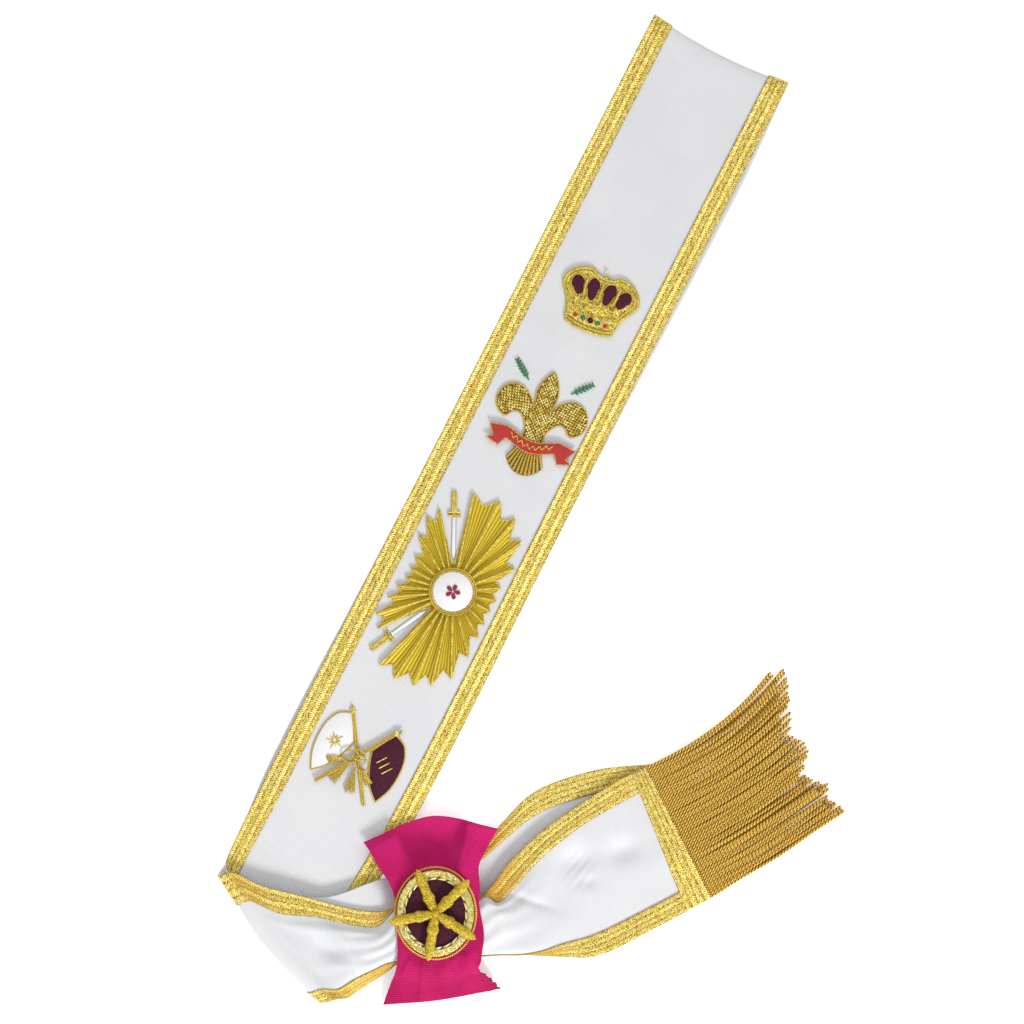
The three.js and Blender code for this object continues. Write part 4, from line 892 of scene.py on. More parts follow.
# %% Tubes along paths
def tubes_mesh(name, paths, radius, sides=10, closed=False, lobes=0.0, pitch=5.0, flatten=1.0, ends=None):
    """One mesh of tubes. A path is a list of points in mm; radius is one number or one for each point."""
    bm = bmesh.new()
    places, values = [], []
    for path in paths:
        path = np.asarray(path, float)
        stations = len(path)
        bmesh.ops.create_grid(bm, x_segments=sides, y_segments=stations - 1, size=1)
        tangent = np.gradient(path, axis=0)
        if closed:
            tangent[0] = tangent[-1] = path[1] - path[-2]
        tangent /= np.maximum(np.linalg.norm(tangent, axis=1, keepdims=True), 1e-9)
        side = np.cross([0, 0, 1], tangent)
        side /= np.maximum(np.linalg.norm(side, axis=1, keepdims=True), 1e-9)
        up = np.cross(tangent, side)
        steps = np.linalg.norm(np.diff(path, axis=0), axis=1)
        length = np.concatenate([[0], np.cumsum(steps)])
        if closed:
            length *= round(length[-1] / pitch) * pitch / length[-1]
        angle = np.linspace(0, 2 * math.pi, sides + 1)
        twist = 2 * angle[None, :] + 4 * math.pi * length[:, None] / pitch
        thick = np.broadcast_to(np.asarray(radius, float), (stations,))[:, None]
        if ends is not None:
            thick = thick * np.clip(np.minimum(length, length[-1] - length) / ends, 0, 1)[:, None] ** 0.5
        thick = thick * (1 - lobes + lobes * np.cos(twist))
        ring = side[:, None] * (thick * np.cos(angle))[..., None]
        ring = ring + up[:, None] * (thick * np.sin(angle) * flatten)[..., None]
        places.append((path[:, None] + ring).reshape(-1, 3))
        round_share = np.broadcast_to(angle / (2 * math.pi), (stations, sides + 1))
        along = np.broadcast_to(length[:, None] * MM, (stations, sides + 1))
        values.append(np.stack([along, round_share], axis=-1).reshape(-1, 2))
    mesh = bpy.data.meshes.new(name)
    bm.to_mesh(mesh)
    bm.free()
    moved = (np.concatenate(places) + ORIGIN) * MM
    mesh.vertices.foreach_set("co", moved.ravel())
    set_map(mesh, np.concatenate(values))
    bm = bmesh.new()
    bm.from_mesh(mesh)
    bmesh.ops.remove_doubles(bm, verts=bm.verts, dist=1e-6)
    bm.to_mesh(mesh)
    bm.free()
    mesh.update()
    return mesh


# %% The two fringes
FRINGE_LENGTH = 104
STRANDS = [
    {"share": 0, "leaves": 49, "ends": 80, "reach": 1.04},
    {"share": 0.2, "leaves": 50, "ends": 73, "reach": 1.0},
    {"share": 0.5, "leaves": 53, "ends": 68, "reach": 0.97},
    {"share": 0.8, "leaves": 56, "ends": 63, "reach": 0.96},
    {"share": 1, "leaves": 58, "ends": 61, "reach": 0.97},
]
CORD_RADIUS = 1.28
CORD_TUCK = 1.6
FRINGE_ROWS = 5
END_STEPS = [1.0, 1.01, 1.0, 0.96, 0.93, 0.90, 0.94, 0.985, 0.93, 0.89, 0.94, 1.0, 0.96, 1.0, 1.01]


def fringe_surface(tail, level, stretch):
    shares = [strand["share"] for strand in STRANDS]
    heads = tail.points([tail.last], shares)[0]
    line = heads[-1] - heads[0]
    outward = np.array([-line[1], line[0], 0]) / np.linalg.norm(line[:2])
    places = heads + outward * 0.3
    places[:, 2] = level
    rows = [places.copy()]
    for step in range(1, FRINGE_ROWS + 1):
        for column, strand in enumerate(STRANDS):
            heading = math.radians(between(strand["leaves"], strand["ends"], (step - 0.5) / FRINGE_ROWS))
            length = FRINGE_LENGTH * strand["reach"] * stretch / FRINGE_ROWS
            places[column] += (math.cos(heading) * length, math.sin(heading) * length, 0)
        rows.append(places.copy())
    return Surface(rows, shares)


def fringe_piece(node, tail, stretch, cords, stations, seed):
    """Cords over the fringe's surface, each with its own drift, sway, lift and end."""
    name = node + "_cords"
    surface = fringe_surface(tail, LEVELS[node], stretch)
    chance = random.Random(seed)
    paths = []
    for index in range(cords):
        share = (index + 0.5) / cords
        group = share * (len(END_STEPS) - 1)
        step = np.interp(group, range(len(END_STEPS)), END_STEPS)
        runs = np.linspace(0, FRINGE_ROWS * step + chance.uniform(-0.09, 0.05), stations)
        drift = chance.gauss(0, 0.009) * (runs / FRINGE_ROWS) ** 1.2
        sway = chance.uniform(0.002, 0.006) * np.sin(runs * chance.uniform(0.9, 1.8) + chance.uniform(0, 6))
        shares = np.clip(share + (drift + sway * np.clip(runs / 1.5, 0, 1)), 0.004, 0.996)
        path = np.array([surface.points([run], [at])[0, 0] for run, at in zip(runs, shares)])
        start = path[0] - (path[1] - path[0]) / np.linalg.norm(path[1] - path[0]) * CORD_TUCK
        path = np.concatenate([[start], path])
        lift, waves = chance.uniform(-0.25, 1.0), chance.uniform(0.7, 1.6)
        path[:, 2] += lift * np.sin(np.linspace(0, math.pi * waves, len(path)))
        paths.append(path)
    mesh = tubes_mesh(name, paths, CORD_RADIUS, sides=10, lobes=0.16, pitch=FRINGE_PITCH / MM, ends=1.6)
    lengths = [lengths_along(path[:, None])[-1, 0] / MM for path in paths]
    print(name, "has", cords, "cords of", round(min(lengths)), "to", round(max(lengths)), "mm")
    return finish_piece(name, mesh, fringe_cord, [node])


upper_cords = fringe_piece("upper_fringe", rear, 1, 50, 150, 11)
under_cords = fringe_piece("under_fringe", under_tail, 1.03, 46, 100, 23)

# %% [markdown]
# The bow is one ribbon across the gathered cloth. Above the rosette two panels stand over a recessed
# middle, the right one with a sharp crease. Below it the ribbon fans out in small gathers, and its lower
# right corner is frayed and curls up. The folds are steps in height along short lines.

# %% The bow
BOW_HEIGHT = 125
BOW_PLEAT = 3
BOW_CLOTH = 0.9
BOW_MAP_WIDTH = 78
BOW_CENTRE = hip(0.909, 0)
BOW_TURN = math.radians(27)
BOW = [
    {"places": [(-0.285, -0.504), (0.005, -0.48), (0.349, -0.417)], "rise": 0.12, "pleat": -0.1},
    {"places": [(-0.245, -0.392), (0.02, -0.4), (0.299, -0.358)], "rise": 0.42, "pleat": 0.1},
    {"places": [(-0.21, -0.29), (0.02, -0.3), (0.25, -0.28)], "rise": 0.86, "pleat": 0},
    {"places": [(-0.207, -0.118), (0.022, -0.12), (0.262, -0.118)], "rise": 1, "pleat": 0},
    {"places": [(-0.215, 0.049), (0.012, 0.05), (0.237, 0.049)], "rise": 1, "pleat": 0},
    {"places": [(-0.25, 0.16), (0, 0.17), (0.241, 0.14)], "rise": 0.95, "pleat": 0},
    {"places": [(-0.31, 0.248), (-0.02, 0.29), (0.233, 0.248)], "rise": 0.78, "pleat": 1},
    {"places": [(-0.362, 0.34), (-0.02, 0.41), (0.278, 0.348)], "rise": 0.6, "pleat": 1},
    {"places": [(-0.39, 0.377), (-0.02, 0.52), (0.337, 0.451)], "rise": 0.5, "pleat": 0.5},
]
PLEATS = [0, 0.15, -0.6, -1, -0.7, 0.35, 0]
BOW_STEPS = [
    {"from": (23, 66), "to": (13, 26), "rise": 4.6, "reach": 15, "soft": 0.4},
    {"from": (-12, 26), "to": (-29, 57), "rise": 4.6, "reach": 16, "soft": 0.8},
    {"from": (-9, -31), "to": (-12, -60), "rise": 1.3, "reach": 9, "soft": 0.4},
    {"from": (9, -30), "to": (14, -44), "rise": 1.9, "reach": 7, "soft": 0.6},
    {"from": (18, -28), "to": (28, -42), "rise": 1.9, "reach": 6, "soft": 0.7},
    {"from": (-18, -30), "to": (-24, -42), "rise": 1.4, "reach": 6, "soft": 0.8},
    {"from": (30, -33), "to": (43, -50), "rise": 3.0, "reach": 6, "soft": 0.5},
]
turn_out = np.array([[math.cos(BOW_TURN), -math.sin(BOW_TURN)], [math.sin(BOW_TURN), math.cos(BOW_TURN)]])


def bow_place(point):
    return turn_out @ (np.array(point) * BOW_HEIGHT) + BOW_CENTRE


def bow_rows():
    rows = []
    for row in BOW:
        ends = np.array([bow_place(place) for place in row["places"]])
        plan = curve_through(ends, np.array(COLUMNS) * 2)
        height = [row["rise"] * LEVELS["bow"] + row["pleat"] * BOW_PLEAT * pleat for pleat in PLEATS]
        rows.append(np.column_stack([plan, height]))
    return rows


def bow_relief(points, runs, shares):
    own = (points[..., :2] - BOW_CENTRE) @ turn_out
    rise = np.zeros(points.shape[:2])
    for step in BOW_STEPS:
        start, end = np.array(step["from"], float), np.array(step["to"], float)
        line = (end - start) / np.linalg.norm(end - start)
        along = ((own - start) @ line) / np.linalg.norm(end - start)
        side = (own - start) @ np.array([-line[1], line[0]])
        window = np.clip(np.minimum(along + 0.08, 1.1 - along) / 0.25, 0, 1)
        stand = 0.5 + 0.5 * np.tanh(side / step["soft"])
        rise += step["rise"] * window * stand * np.exp(-np.maximum(side, 0) / step["reach"])
    ripples = 0.7 * np.sin(own[..., 0] / 2.4 + 0.03 * own[..., 1]) * np.clip((-own[..., 1] - 26) / 10, 0, 1)
    curl = 3.4 * np.clip((own[..., 0] - 34) / 9, 0, 1) ** 2 * np.clip((-own[..., 1] - 34) / 12, 0, 1)
    recess = -4.5 * np.exp(-((own[..., 0] + 2) / 13) ** 2 - ((own[..., 1] - 35) / 12) ** 2)
    return rise + recess + ripples * np.clip((60 + own[..., 1]) / 20, 0, 1) + curl


def fray(points):
    """Pulls the cloth in above its lower right corner, and frays that corner in small uneven steps."""
    own = (points[..., :2] - BOW_CENTRE) @ turn_out
    nibble = 0.5 * np.sin(own[..., 1] * 1.9) + 0.35 * np.sin(own[..., 1] * 4.3 + 1)
    share = np.clip((own[..., 0] - 22) / 14, 0, 1) * np.clip((-own[..., 1] - 30) / 10, 0, 1)
    pulled = 3.4 * np.exp(-((own[..., 1] + 39) / 4.5) ** 2) * np.clip((own[..., 0] - 18) / 14, 0, 1)
    own = own + np.stack([nibble * share - pulled, 0.7 * nibble * share], axis=-1)
    return np.concatenate([own @ turn_out.T + BOW_CENTRE, points[..., 2:]], axis=-1)


bow_surface = Surface(bow_rows())
bow_runs = bow_surface.even_runs([(0, 1.1), (8, 1.1)])
bow_shares = np.linspace(0, 1, 73)
points, _ = lowered(bow_surface, bow_runs, bow_shares, bow_relief)
mesh, _, _ = grid_mesh("bow_ribbon", fray(points), weave_map(points, bow_shares, BOW_MAP_WIDTH))
bow = finish_piece("bow_ribbon", mesh, grosgrain, ["bow"])
thicken(bow, BOW_CLOTH)
print("bow of", len(mesh.polygons), "squares")

# %% [markdown]
# The rosette is a padded velvet disc inside a ring of bright bullion and a thin twisted cord. Five arms
# of matt bullion lie over it, each with a round boss by the hub and a pointed end. The disc and hub are
# turned from a profile, the rest are tubes.

# %% The rosette
ROSETTE_WIDTH, ROSETTE_LENGTH, ROSETTE_THICKNESS = 52, 59, 3
ROSETTE_LEVEL = 21.2
STRETCH = ROSETTE_LENGTH / ROSETTE_WIDTH
RING_LEVEL = ROSETTE_LEVEL + ROSETTE_THICKNESS + 0.3
ARM_LENGTH, ARM_WIDTH, ARM_HEIGHT, ARM_START = 27, 8.4, 4.2, 5.2
ARM_LEVEL = RING_LEVEL + 1.7
ARM_COIL = 1.15
ARM_BEARINGS = [112.8, 44.7, -32.4, -98.9, 190.8]
ARM_PROFILE = [
    {"along": -0.1, "width": 0.5}, {"along": 0, "width": 0.76}, {"along": 0.1, "width": 0.8},
    {"along": 0.2, "width": 1.0}, {"along": 0.28, "width": 0.96}, {"along": 0.34, "width": 0.74},
    {"along": 0.4, "width": 0.8}, {"along": 0.7, "width": 0.8}, {"along": 0.84, "width": 0.68},
    {"along": 0.93, "width": 0.46}, {"along": 1, "width": 0.08},
]


def revolved_mesh(name, profile, steps, stretch, place):
    """A mesh turned from a profile of radius and height, stretched, turned and moved, in mm."""
    bm = bmesh.new()
    points = [bm.verts.new((radius, 0, height)) for radius, height in profile]
    edges = [bm.edges.new(pair) for pair in zip(points, points[1:])]
    bmesh.ops.spin(
        bm, geom=points + edges, cent=(0, 0, 0), axis=(0, 0, 1), angle=2 * math.pi, steps=steps,
        use_merge=True)
    bmesh.ops.remove_doubles(bm, verts=bm.verts, dist=1e-4)
    bmesh.ops.recalc_face_normals(bm, faces=bm.faces)
    bmesh.ops.scale(bm, vec=(1, stretch, 1), verts=bm.verts)
    bmesh.ops.transform(bm, matrix=to_frame() @ place, verts=bm.verts)
    mesh = bpy.data.meshes.new(name)
    bm.to_mesh(mesh)
    bm.free()
    return mesh


def to_frame():
    """From the panel's own millimetres to the frame's metres."""
    return Matrix.Scale(MM, 4) @ Matrix.Translation(Vector(ORIGIN))


def move(x, y, z=0.0, turn=0.0):
    return Matrix.Translation((x, y, z)) @ Matrix.Rotation(math.radians(turn), 4, "Z")


def moved(points, place):
    """A list of points in mm, each (x, y) or (x, y, z), moved by a place."""
    return [tuple(place @ Vector((*point, 0)[:3])) for point in points]


rosette_place = move(*BOW_CENTRE, 0, 27)
DISC_PROFILE = [(0, 0), (25.6, 0), (26, 0.8), (25.4, 2.1), (23.6, 2.8), (16, 3.05), (8, 3.1), (0, 3.1)]
HUB_PROFILE = [(0, 0), (2.6, 0), (2.9, 1), (2.8, 5.0), (2.2, 6.3), (1.3, 6.75), (0, 6.8)]
disc_mesh = revolved_mesh(
    "rosette_velvet", DISC_PROFILE, 72, STRETCH, rosette_place @ move(0, 0, ROSETTE_LEVEL))
disc = finish_piece("rosette_velvet", disc_mesh, plum_velvet, ["rosette_disc"])


def ring_piece(name, across, count, level, radius, finish, replaced=(), **more):
    """A closed tube round the rosette, half as wide as across says in mm."""
    turns = np.linspace(0, 2 * math.pi, count + 1)
    oval = [(across * math.cos(t), across * STRETCH * math.sin(t), level) for t in turns]
    mesh = tubes_mesh(name, [moved(oval, rosette_place)], radius, closed=True, **more)
    return finish_piece(name, mesh, finish, replaced)


chance = random.Random(5)
facets = [2.5 * chance.uniform(0.95, 1.04) for _ in range(52)]
ring = ring_piece(
    "rosette_bright_ring", 23.6, 52, RING_LEVEL + 0.5, [*facets, facets[0]], bright_bullion,
    ["rosette_ring"], sides=8, flatten=0.62)
ring.data.shade_flat()
ring_piece(
    "rosette_rim_cord", 27.2, 240, ROSETTE_LEVEL + 0.95, 1.0, rim_cord, ["rosette_cord"],
    sides=10, lobes=0.15, pitch=3.0)
ring_piece("rosette_inner_cord", 20.7, 200, RING_LEVEL + 0.25, 0.75, green_dashes, sides=8, pitch=6.2)


def arm_paths(bearing):
    place = rosette_place @ move(0, 0, ARM_LEVEL + ARM_HEIGHT / 2, bearing)
    alongs = np.linspace(-0.1, 1, 100)
    body = moved([(ARM_START + share * ARM_LENGTH, 0, 0) for share in alongs], place)
    width = np.interp(alongs, [row["along"] for row in ARM_PROFILE], [row["width"] for row in ARM_PROFILE])
    coils = 1 + 0.06 * np.cos(alongs * ARM_LENGTH * 2 * math.pi / ARM_COIL)
    return body, width * coils * ARM_WIDTH / 2


for index, bearing in enumerate(ARM_BEARINGS):
    name = f"rosette_arm_{index + 1}"
    body, radius = arm_paths(bearing)
    arm_mesh = tubes_mesh(name + "_bullion", [body], radius, sides=14, flatten=ARM_HEIGHT / ARM_WIDTH)
    finish_piece(name + "_bullion", arm_mesh, matt_bullion, [name])
hub_mesh = revolved_mesh("rosette_hub", HUB_PROFILE, 24, 1, rosette_place @ move(0, 0, RING_LEVEL - 0.4))
finish_piece("rosette_hub", hub_mesh, matt_bullion, ["rosette_knot"])
print("rosette of a disc, two cords, a ring, a hub and", len(ARM_BEARINGS), "arms")

# %% [markdown]
# The embroidery is padded work: shapes cut from felt and covered, with cords sewn round them. A pad is
# an outline, filled with one face, extruded and given a soft rim. An outline is a few points joined by
# smooth runs that meet in corners.

# %% Pads and cords for the embroidery
LINEN_LEVEL = 6.35


def outline_of(*runs, size=1.0, steps=6):
    """A closed outline of smooth runs that meet in corners."""
    points = []
    for run in runs:
        at = np.arange(0, len(run) - 1, 1 / steps)
        points += [tuple(point) for point in curve_through(run, at) * size]
    return points


def closed_curve(points, size=1.0, steps=6):
    """A closed outline that is smooth all round."""
    wrapped = np.array([*points[-2:], *points, *points[:3]], float)
    return [tuple(p) for p in curve_through(wrapped, np.arange(2, len(points) + 2, 1 / steps)) * size]


def mirrored(half):
    return [*half, *[(-x, y) for x, y in reversed(half) if x != 0]]


def even_path(points, step, closed=False):
    """The same line with its points at even steps."""
    points = np.asarray([*points, points[0]] if closed else points, float)
    length = np.concatenate([[0], np.cumsum(np.linalg.norm(np.diff(points, axis=0), axis=1))])
    at = np.linspace(0, length[-1], max(3, round(length[-1] / step) + 1))
    return np.column_stack([np.interp(at, length, points[:, axis]) for axis in range(points.shape[1])])


def inset(points, distance):
    """A closed outline drawn in by a distance."""
    points = np.asarray(points, float)
    along = np.roll(points, -1, axis=0) - np.roll(points, 1, axis=0)
    along /= np.maximum(np.linalg.norm(along, axis=1, keepdims=True), 1e-9)
    inward = np.column_stack([-along[:, 1], along[:, 0]])
    x, y = points[:, 0], points[:, 1]
    area = np.sum(x * np.roll(y, -1) - y * np.roll(x, -1))
    return points + inward * distance * np.sign(area)


def pad_mesh(name, outlines, thickness, place, soft=0.3):
    bm = bmesh.new()
    for line in outlines:
        bm.faces.new([bm.verts.new((x, y, 0)) for x, y in line])
    made = bmesh.ops.extrude_face_region(bm, geom=bm.faces[:])["geom"]
    top = {part for part in made if isinstance(part, bmesh.types.BMVert)}
    bmesh.ops.translate(bm, vec=(0, 0, thickness), verts=list(top))
    bmesh.ops.recalc_face_normals(bm, faces=bm.faces)
    rim = [edge for edge in bm.edges if set(edge.verts) <= top]
    bmesh.ops.bevel(bm, geom=rim, offset=soft, segments=2, profile=0.5, affect="EDGES", material=-1)
    bmesh.ops.triangulate(bm, faces=[face for face in bm.faces if len(face.verts) > 4])
    bmesh.ops.transform(bm, matrix=to_frame() @ place, verts=bm.verts)
    mesh = bpy.data.meshes.new(name)
    bm.to_mesh(mesh)
    bm.free()
    return mesh


def pad(name, outlines, thickness, place, finish, replaced=None, soft=0.3):
    return finish_piece(name, pad_mesh(name, outlines, thickness, place, soft), finish, replaced)


def cords(name, lines, radius, place, finish=edge_cord, closed=False, pitch=2.2, replaced=None,
          slot="gold_bullion", **more):
    """Cords along lines of (x, y, height), in mm from the place."""
    paths = [moved(even_path(line, pitch / 5, closed), place) for line in lines]
    mesh = tubes_mesh(name, paths, radius, sides=8, closed=closed, lobes=0.14, pitch=pitch, **more)
    return finish_piece(name, mesh, finish, replaced)


def raised(points, height):
    return [(x, y, height) for x, y in points]


def emblem(down, across, turn):
    return move(across * RIBBON_WIDTH, -down * PANEL_LENGTH, LINEN_LEVEL, turn)


print("embroidery helpers ready")

# %% [markdown]
# The crown is a gold field with a thick stitched rim. Four cells of plum velvet puff up through it, ribs
# with curled feet stand between them, and five small stones sit on the band, over a smooth base roll.

# %% The crown
CROWN_WIDTH = 54
CROWN_HALF = [
    (0.08, 0.33), (0.2, 0.385), (0.35, 0.345), (0.475, 0.23), (0.5, 0.1), (0.43, -0.02), (0.37, -0.12),
    (0.33, -0.24), (0.315, -0.33), (0.16, -0.375),
]
CROWN_CELLS = [(0.106, 0.135, 0.08, 0.15, -6), (0.3, 0.125, 0.083, 0.132, -24)]
JEWELS = [
    (-0.2, 0.03, "red_silk"), (-0.1, 0.035, "green_silk"), (0, 0.04, "plum_velvet"),
    (0.1, 0.035, "green_silk"), (0.2, 0.03, "red_silk"),
]
STONE_DOME = [(0, 0), (1, 0), (0.85, 0.6), (0.4, 0.95), (0, 1.0)]
RIB = [(1, 0.02, 2.3), (1.1, 0.12, 2.6), (1.15, 0.26, 2.2)]
FOOT = [(-0.052, 0.03, 2.0), (-0.035, -0.035, 2.4), (0, -0.05, 2.5), (0.035, -0.035, 2.4), (0.052, 0.03, 2.0)]
BASE_ROLL = [
    (-0.32, -0.325, 0), (-0.18, -0.365, 0), (0, -0.378, 0), (0.18, -0.365, 0), (0.32, -0.325, 0),
]
crown = emblem(0.311, 0.028, 6)
crown_line = closed_curve(mirrored(CROWN_HALF), CROWN_WIDTH)
pad("crown_field", [crown_line], 1.6, crown, speckled_gold, ["crown_frame"], 0.5)
cells = []
for x, y, wide, high, lean in CROWN_CELLS:
    for side in (-1, 1):
        turn = math.radians(side * lean)
        ring = []
        for step in range(36):
            a = step * math.pi / 18
            east, north = wide * math.cos(a) * (1.12 if math.sin(a) > 0 else 0.86), high * math.sin(a)
            ring.append((
                (side * x + east * math.cos(turn) - north * math.sin(turn)) * CROWN_WIDTH,
                (y + east * math.sin(turn) + north * math.cos(turn)) * CROWN_WIDTH))
        cells.append(ring)
pad("crown_velvet", cells, 2.1, crown, plum_velvet, ["crown_cap"], 0.6)
cords("crown_cell_cords", [raised(cell, 1.75) for cell in cells], 0.5, crown, closed=True)
for name, inward, height, radius in (("crown_rim", 0.9, 1.0, 1.35), ("crown_inner_rim", 3.0, 1.5, 0.85)):
    rim = raised(inset(crown_line, inward), height)
    cords(name, [rim], radius, crown, coil_gold, closed=True, pitch=1.4)
ribs = [[(x * out, y, z) for out, y, z in RIB] for x in (-0.19, 0, 0.19)]
feet = [[(x + beside, y, z) for beside, y, z in FOOT] for x in (-0.195, 0, 0.195)]
scaled = [[(x * CROWN_WIDTH, y * CROWN_WIDTH, z) for x, y, z in line] for line in ribs + feet]
smooth = [curve_through(line, np.linspace(0, len(line) - 1, 24)) for line in scaled]
cords("crown_ribs", smooth, 0.95, crown, coil_gold, pitch=1.4, ends=1.2)
band_line = outline_of(
    [(0.375, -0.1), (0.34, -0.2), (0.318, -0.32)], [(0.318, -0.32), (0, -0.345), (-0.318, -0.32)],
    [(-0.318, -0.32), (-0.34, -0.2), (-0.375, -0.1)], [(-0.375, -0.1), (0, -0.165), (0.375, -0.1)],
    size=CROWN_WIDTH)
pad("crown_band", [band_line], 2.2, crown, speckled_gold, None, 0.5)
base = curve_through(BASE_ROLL, np.linspace(0, 4, 40)) * (CROWN_WIDTH, CROWN_WIDTH, 1) + (0, 0, 1.6)
cords("crown_base_roll", [base, base + (0, 2.0, 0.5)], 1.15, crown, coil_gold, pitch=0.9, ends=1)
stone_silks = {"red_silk": red_silk, "green_silk": green_silk, "plum_velvet": plum_velvet}
for index, (x, wide, slot) in enumerate(JEWELS):
    name = f"crown_stone_{index + 1}"
    dome = [(wide * CROWN_WIDTH * share, height) for share, height in STONE_DOME]
    place = crown @ move(x * CROWN_WIDTH, -0.245 * CROWN_WIDTH, 2.05)
    stone = revolved_mesh(name, dome, 16, 1, place)
    finish_piece(name, stone, stone_silks[slot], [f"crown_jewel_{index + 1}"])
finial = [
    [(0, 15.5, 2.2), (0, 18.2, 2.4), (0, 21.4, 2.0)],
    [(-1.7, 19.6, 2.2), (0, 19.9, 2.6), (1.7, 19.6, 2.2)],
]
cords("crown_finial", finial, 0.6, crown, coil_gold, pitch=1.4, ends=0.8)
print("crown with", len(cells), "cells and", len(JEWELS), "stones")

# %% [markdown]
# The lily is covered with chips, short cut pieces of bright bullion that all point away from its clasp,
# over brown gold, and its outline is a cord. The fan below the clasp is sewn in stripes. A red silk
# ribbon crosses it, left blank, and two green sprigs stand at its top.

# %% The lily
LILY_HEIGHT, SCROLL_LENGTH, SPRIG_LENGTH = 74, 62, 17
CHIP_STEP, CHIP_GAP, PETAL_LEAN = 2.7, 1.24, 56
PETALS_HALF = [
    (0, 0.5), (0.07, 0.4), (0.1, 0.28), (0.075, 0.14), (0.15, 0.24), (0.27, 0.3), (0.38, 0.26), (0.43, 0.15),
    (0.4, 0.04), (0.31, -0.01), (0.25, 0.05), (0.19, 0.06), (0.1, -0.05), (0.085, -0.15),
]
lily = emblem(0.4634, 0.041, 8)
petals = closed_curve(mirrored(PETALS_HALF), LILY_HEIGHT)
fan_edge = [(0.2 * math.sin(a) * 1.06, -0.15 - 0.335 * math.cos(a * 0.9)) for a in np.linspace(-1, 1, 12)]
fan = [(x * LILY_HEIGHT, y * LILY_HEIGHT) for x, y in [(0.07, -0.13), (-0.07, -0.13), *fan_edge]]
pad("lily_field", [petals, fan], 1.0, lily, brown_gold, ["lily"])


def is_inside(x, y, line):
    count = 0
    for (x1, y1), (x2, y2) in zip(line, [*line[1:], line[0]]):
        if (y1 > y) != (y2 > y) and x < (x2 - x1) * (y - y1) / (y2 - y1) + x1:
            count += 1
    return count % 2 == 1


chance = random.Random(9)
rim_inside = [tuple(point) for point in inset(petals, 1.0)]
chips = []
for lean, side in ((0, 0), (PETAL_LEAN, -1), (-PETAL_LEAN, 1)):
    turn = math.radians(90 + lean)
    along, across = (math.cos(turn), math.sin(turn)), (-math.sin(turn), math.cos(turn))
    for column in range(-42, 43):
        for step in range(-18, 19):
            up = (step + 0.5 * (column % 2) + chance.uniform(-0.1, 0.1)) * CHIP_STEP
            right = column * CHIP_GAP
            x, y = along[0] * up + across[0] * right, along[1] * up + across[1] * right
            in_side_petal = y > -0.04 * LILY_HEIGHT and abs(x) > 0.085 * LILY_HEIGHT
            if in_side_petal != bool(side) or side * x < 0 or not is_inside(x, y, rim_inside):
                continue
            tilt = turn + chance.gauss(0, 0.08)
            reach = chance.uniform(1.0, 1.35)
            top = 1.15 + chance.uniform(0, 0.35)
            dx, dy = math.cos(tilt) * reach, math.sin(tilt) * reach
            chips.append(moved([(x + dx * t, y + dy * t, top) for t in (-1, -0.6, 0, 0.6, 1)], lily))
chip_mesh = tubes_mesh("lily_chips", chips, 0.6, sides=6, pitch=4, ends=0.5)
finish_piece("lily_chips", chip_mesh, bright_chips)
cords("lily_outline", [raised(petals, 0.75)], 0.62, lily, closed=True)
stripes = []
for a in np.linspace(-0.94, 0.94, 11):
    end = (0.2 * math.sin(a) * 1.04 * LILY_HEIGHT, (-0.15 - 0.33 * math.cos(a * 0.9)) * LILY_HEIGHT, 1.0)
    start = (0.3 * end[0], -0.13 * LILY_HEIGHT, 1.3)
    stripes.append([start, (0.65 * end[0], 0.5 * (end[1] - 0.13 * LILY_HEIGHT), 1.4), end])
paths = [moved(curve_through(line, np.linspace(0, 2, 60)), lily) for line in stripes]
mesh = tubes_mesh("lily_fan", paths, np.linspace(0.4, 0.95, 60), sides=8, lobes=0.1, pitch=2.0)
finish_piece("lily_fan", mesh, edge_cord)
SCROLL = [
    (-0.5, 0.1), (-0.42, -0.02), (-0.5, -0.06), (-0.34, -0.11), (-0.28, -0.01), (0, -0.09), (0.28, -0.01),
    (0.34, -0.11), (0.5, -0.06), (0.42, -0.02), (0.5, 0.1), (0.3, 0.13), (0, 0.05), (-0.3, 0.13),
]
scroll_line = outline_of(
    SCROLL[0:2], SCROLL[1:3], SCROLL[2:4], SCROLL[3:5], SCROLL[4:7], SCROLL[6:8], SCROLL[7:9], SCROLL[8:10],
    SCROLL[9:11], SCROLL[10:12], SCROLL[11:14], [SCROLL[13], SCROLL[0]], size=SCROLL_LENGTH)
scroll = lily @ move(0, -0.2 * LILY_HEIGHT, 1.85)
pad("lily_ribbon", [scroll_line], 0.85, scroll, red_silk, ["lily_scroll"], 0.2)
cords("lily_ribbon_edge", [raised(inset(scroll_line, 0.35), 0.7)], 0.33, scroll, closed=True, pitch=1.6)
wave = [(x, 0.06 - 0.08 * math.cos(x / 0.29 * math.pi / 2) ** 2 + 0.024 * (-1) ** k, 0.018)
        for k, x in enumerate(np.linspace(-0.24, 0.24, 15))]
cords("lily_ribbon_stitches", [np.array(wave) * SCROLL_LENGTH], 0.42, scroll, coil_gold, pitch=1.3, ends=0.6)
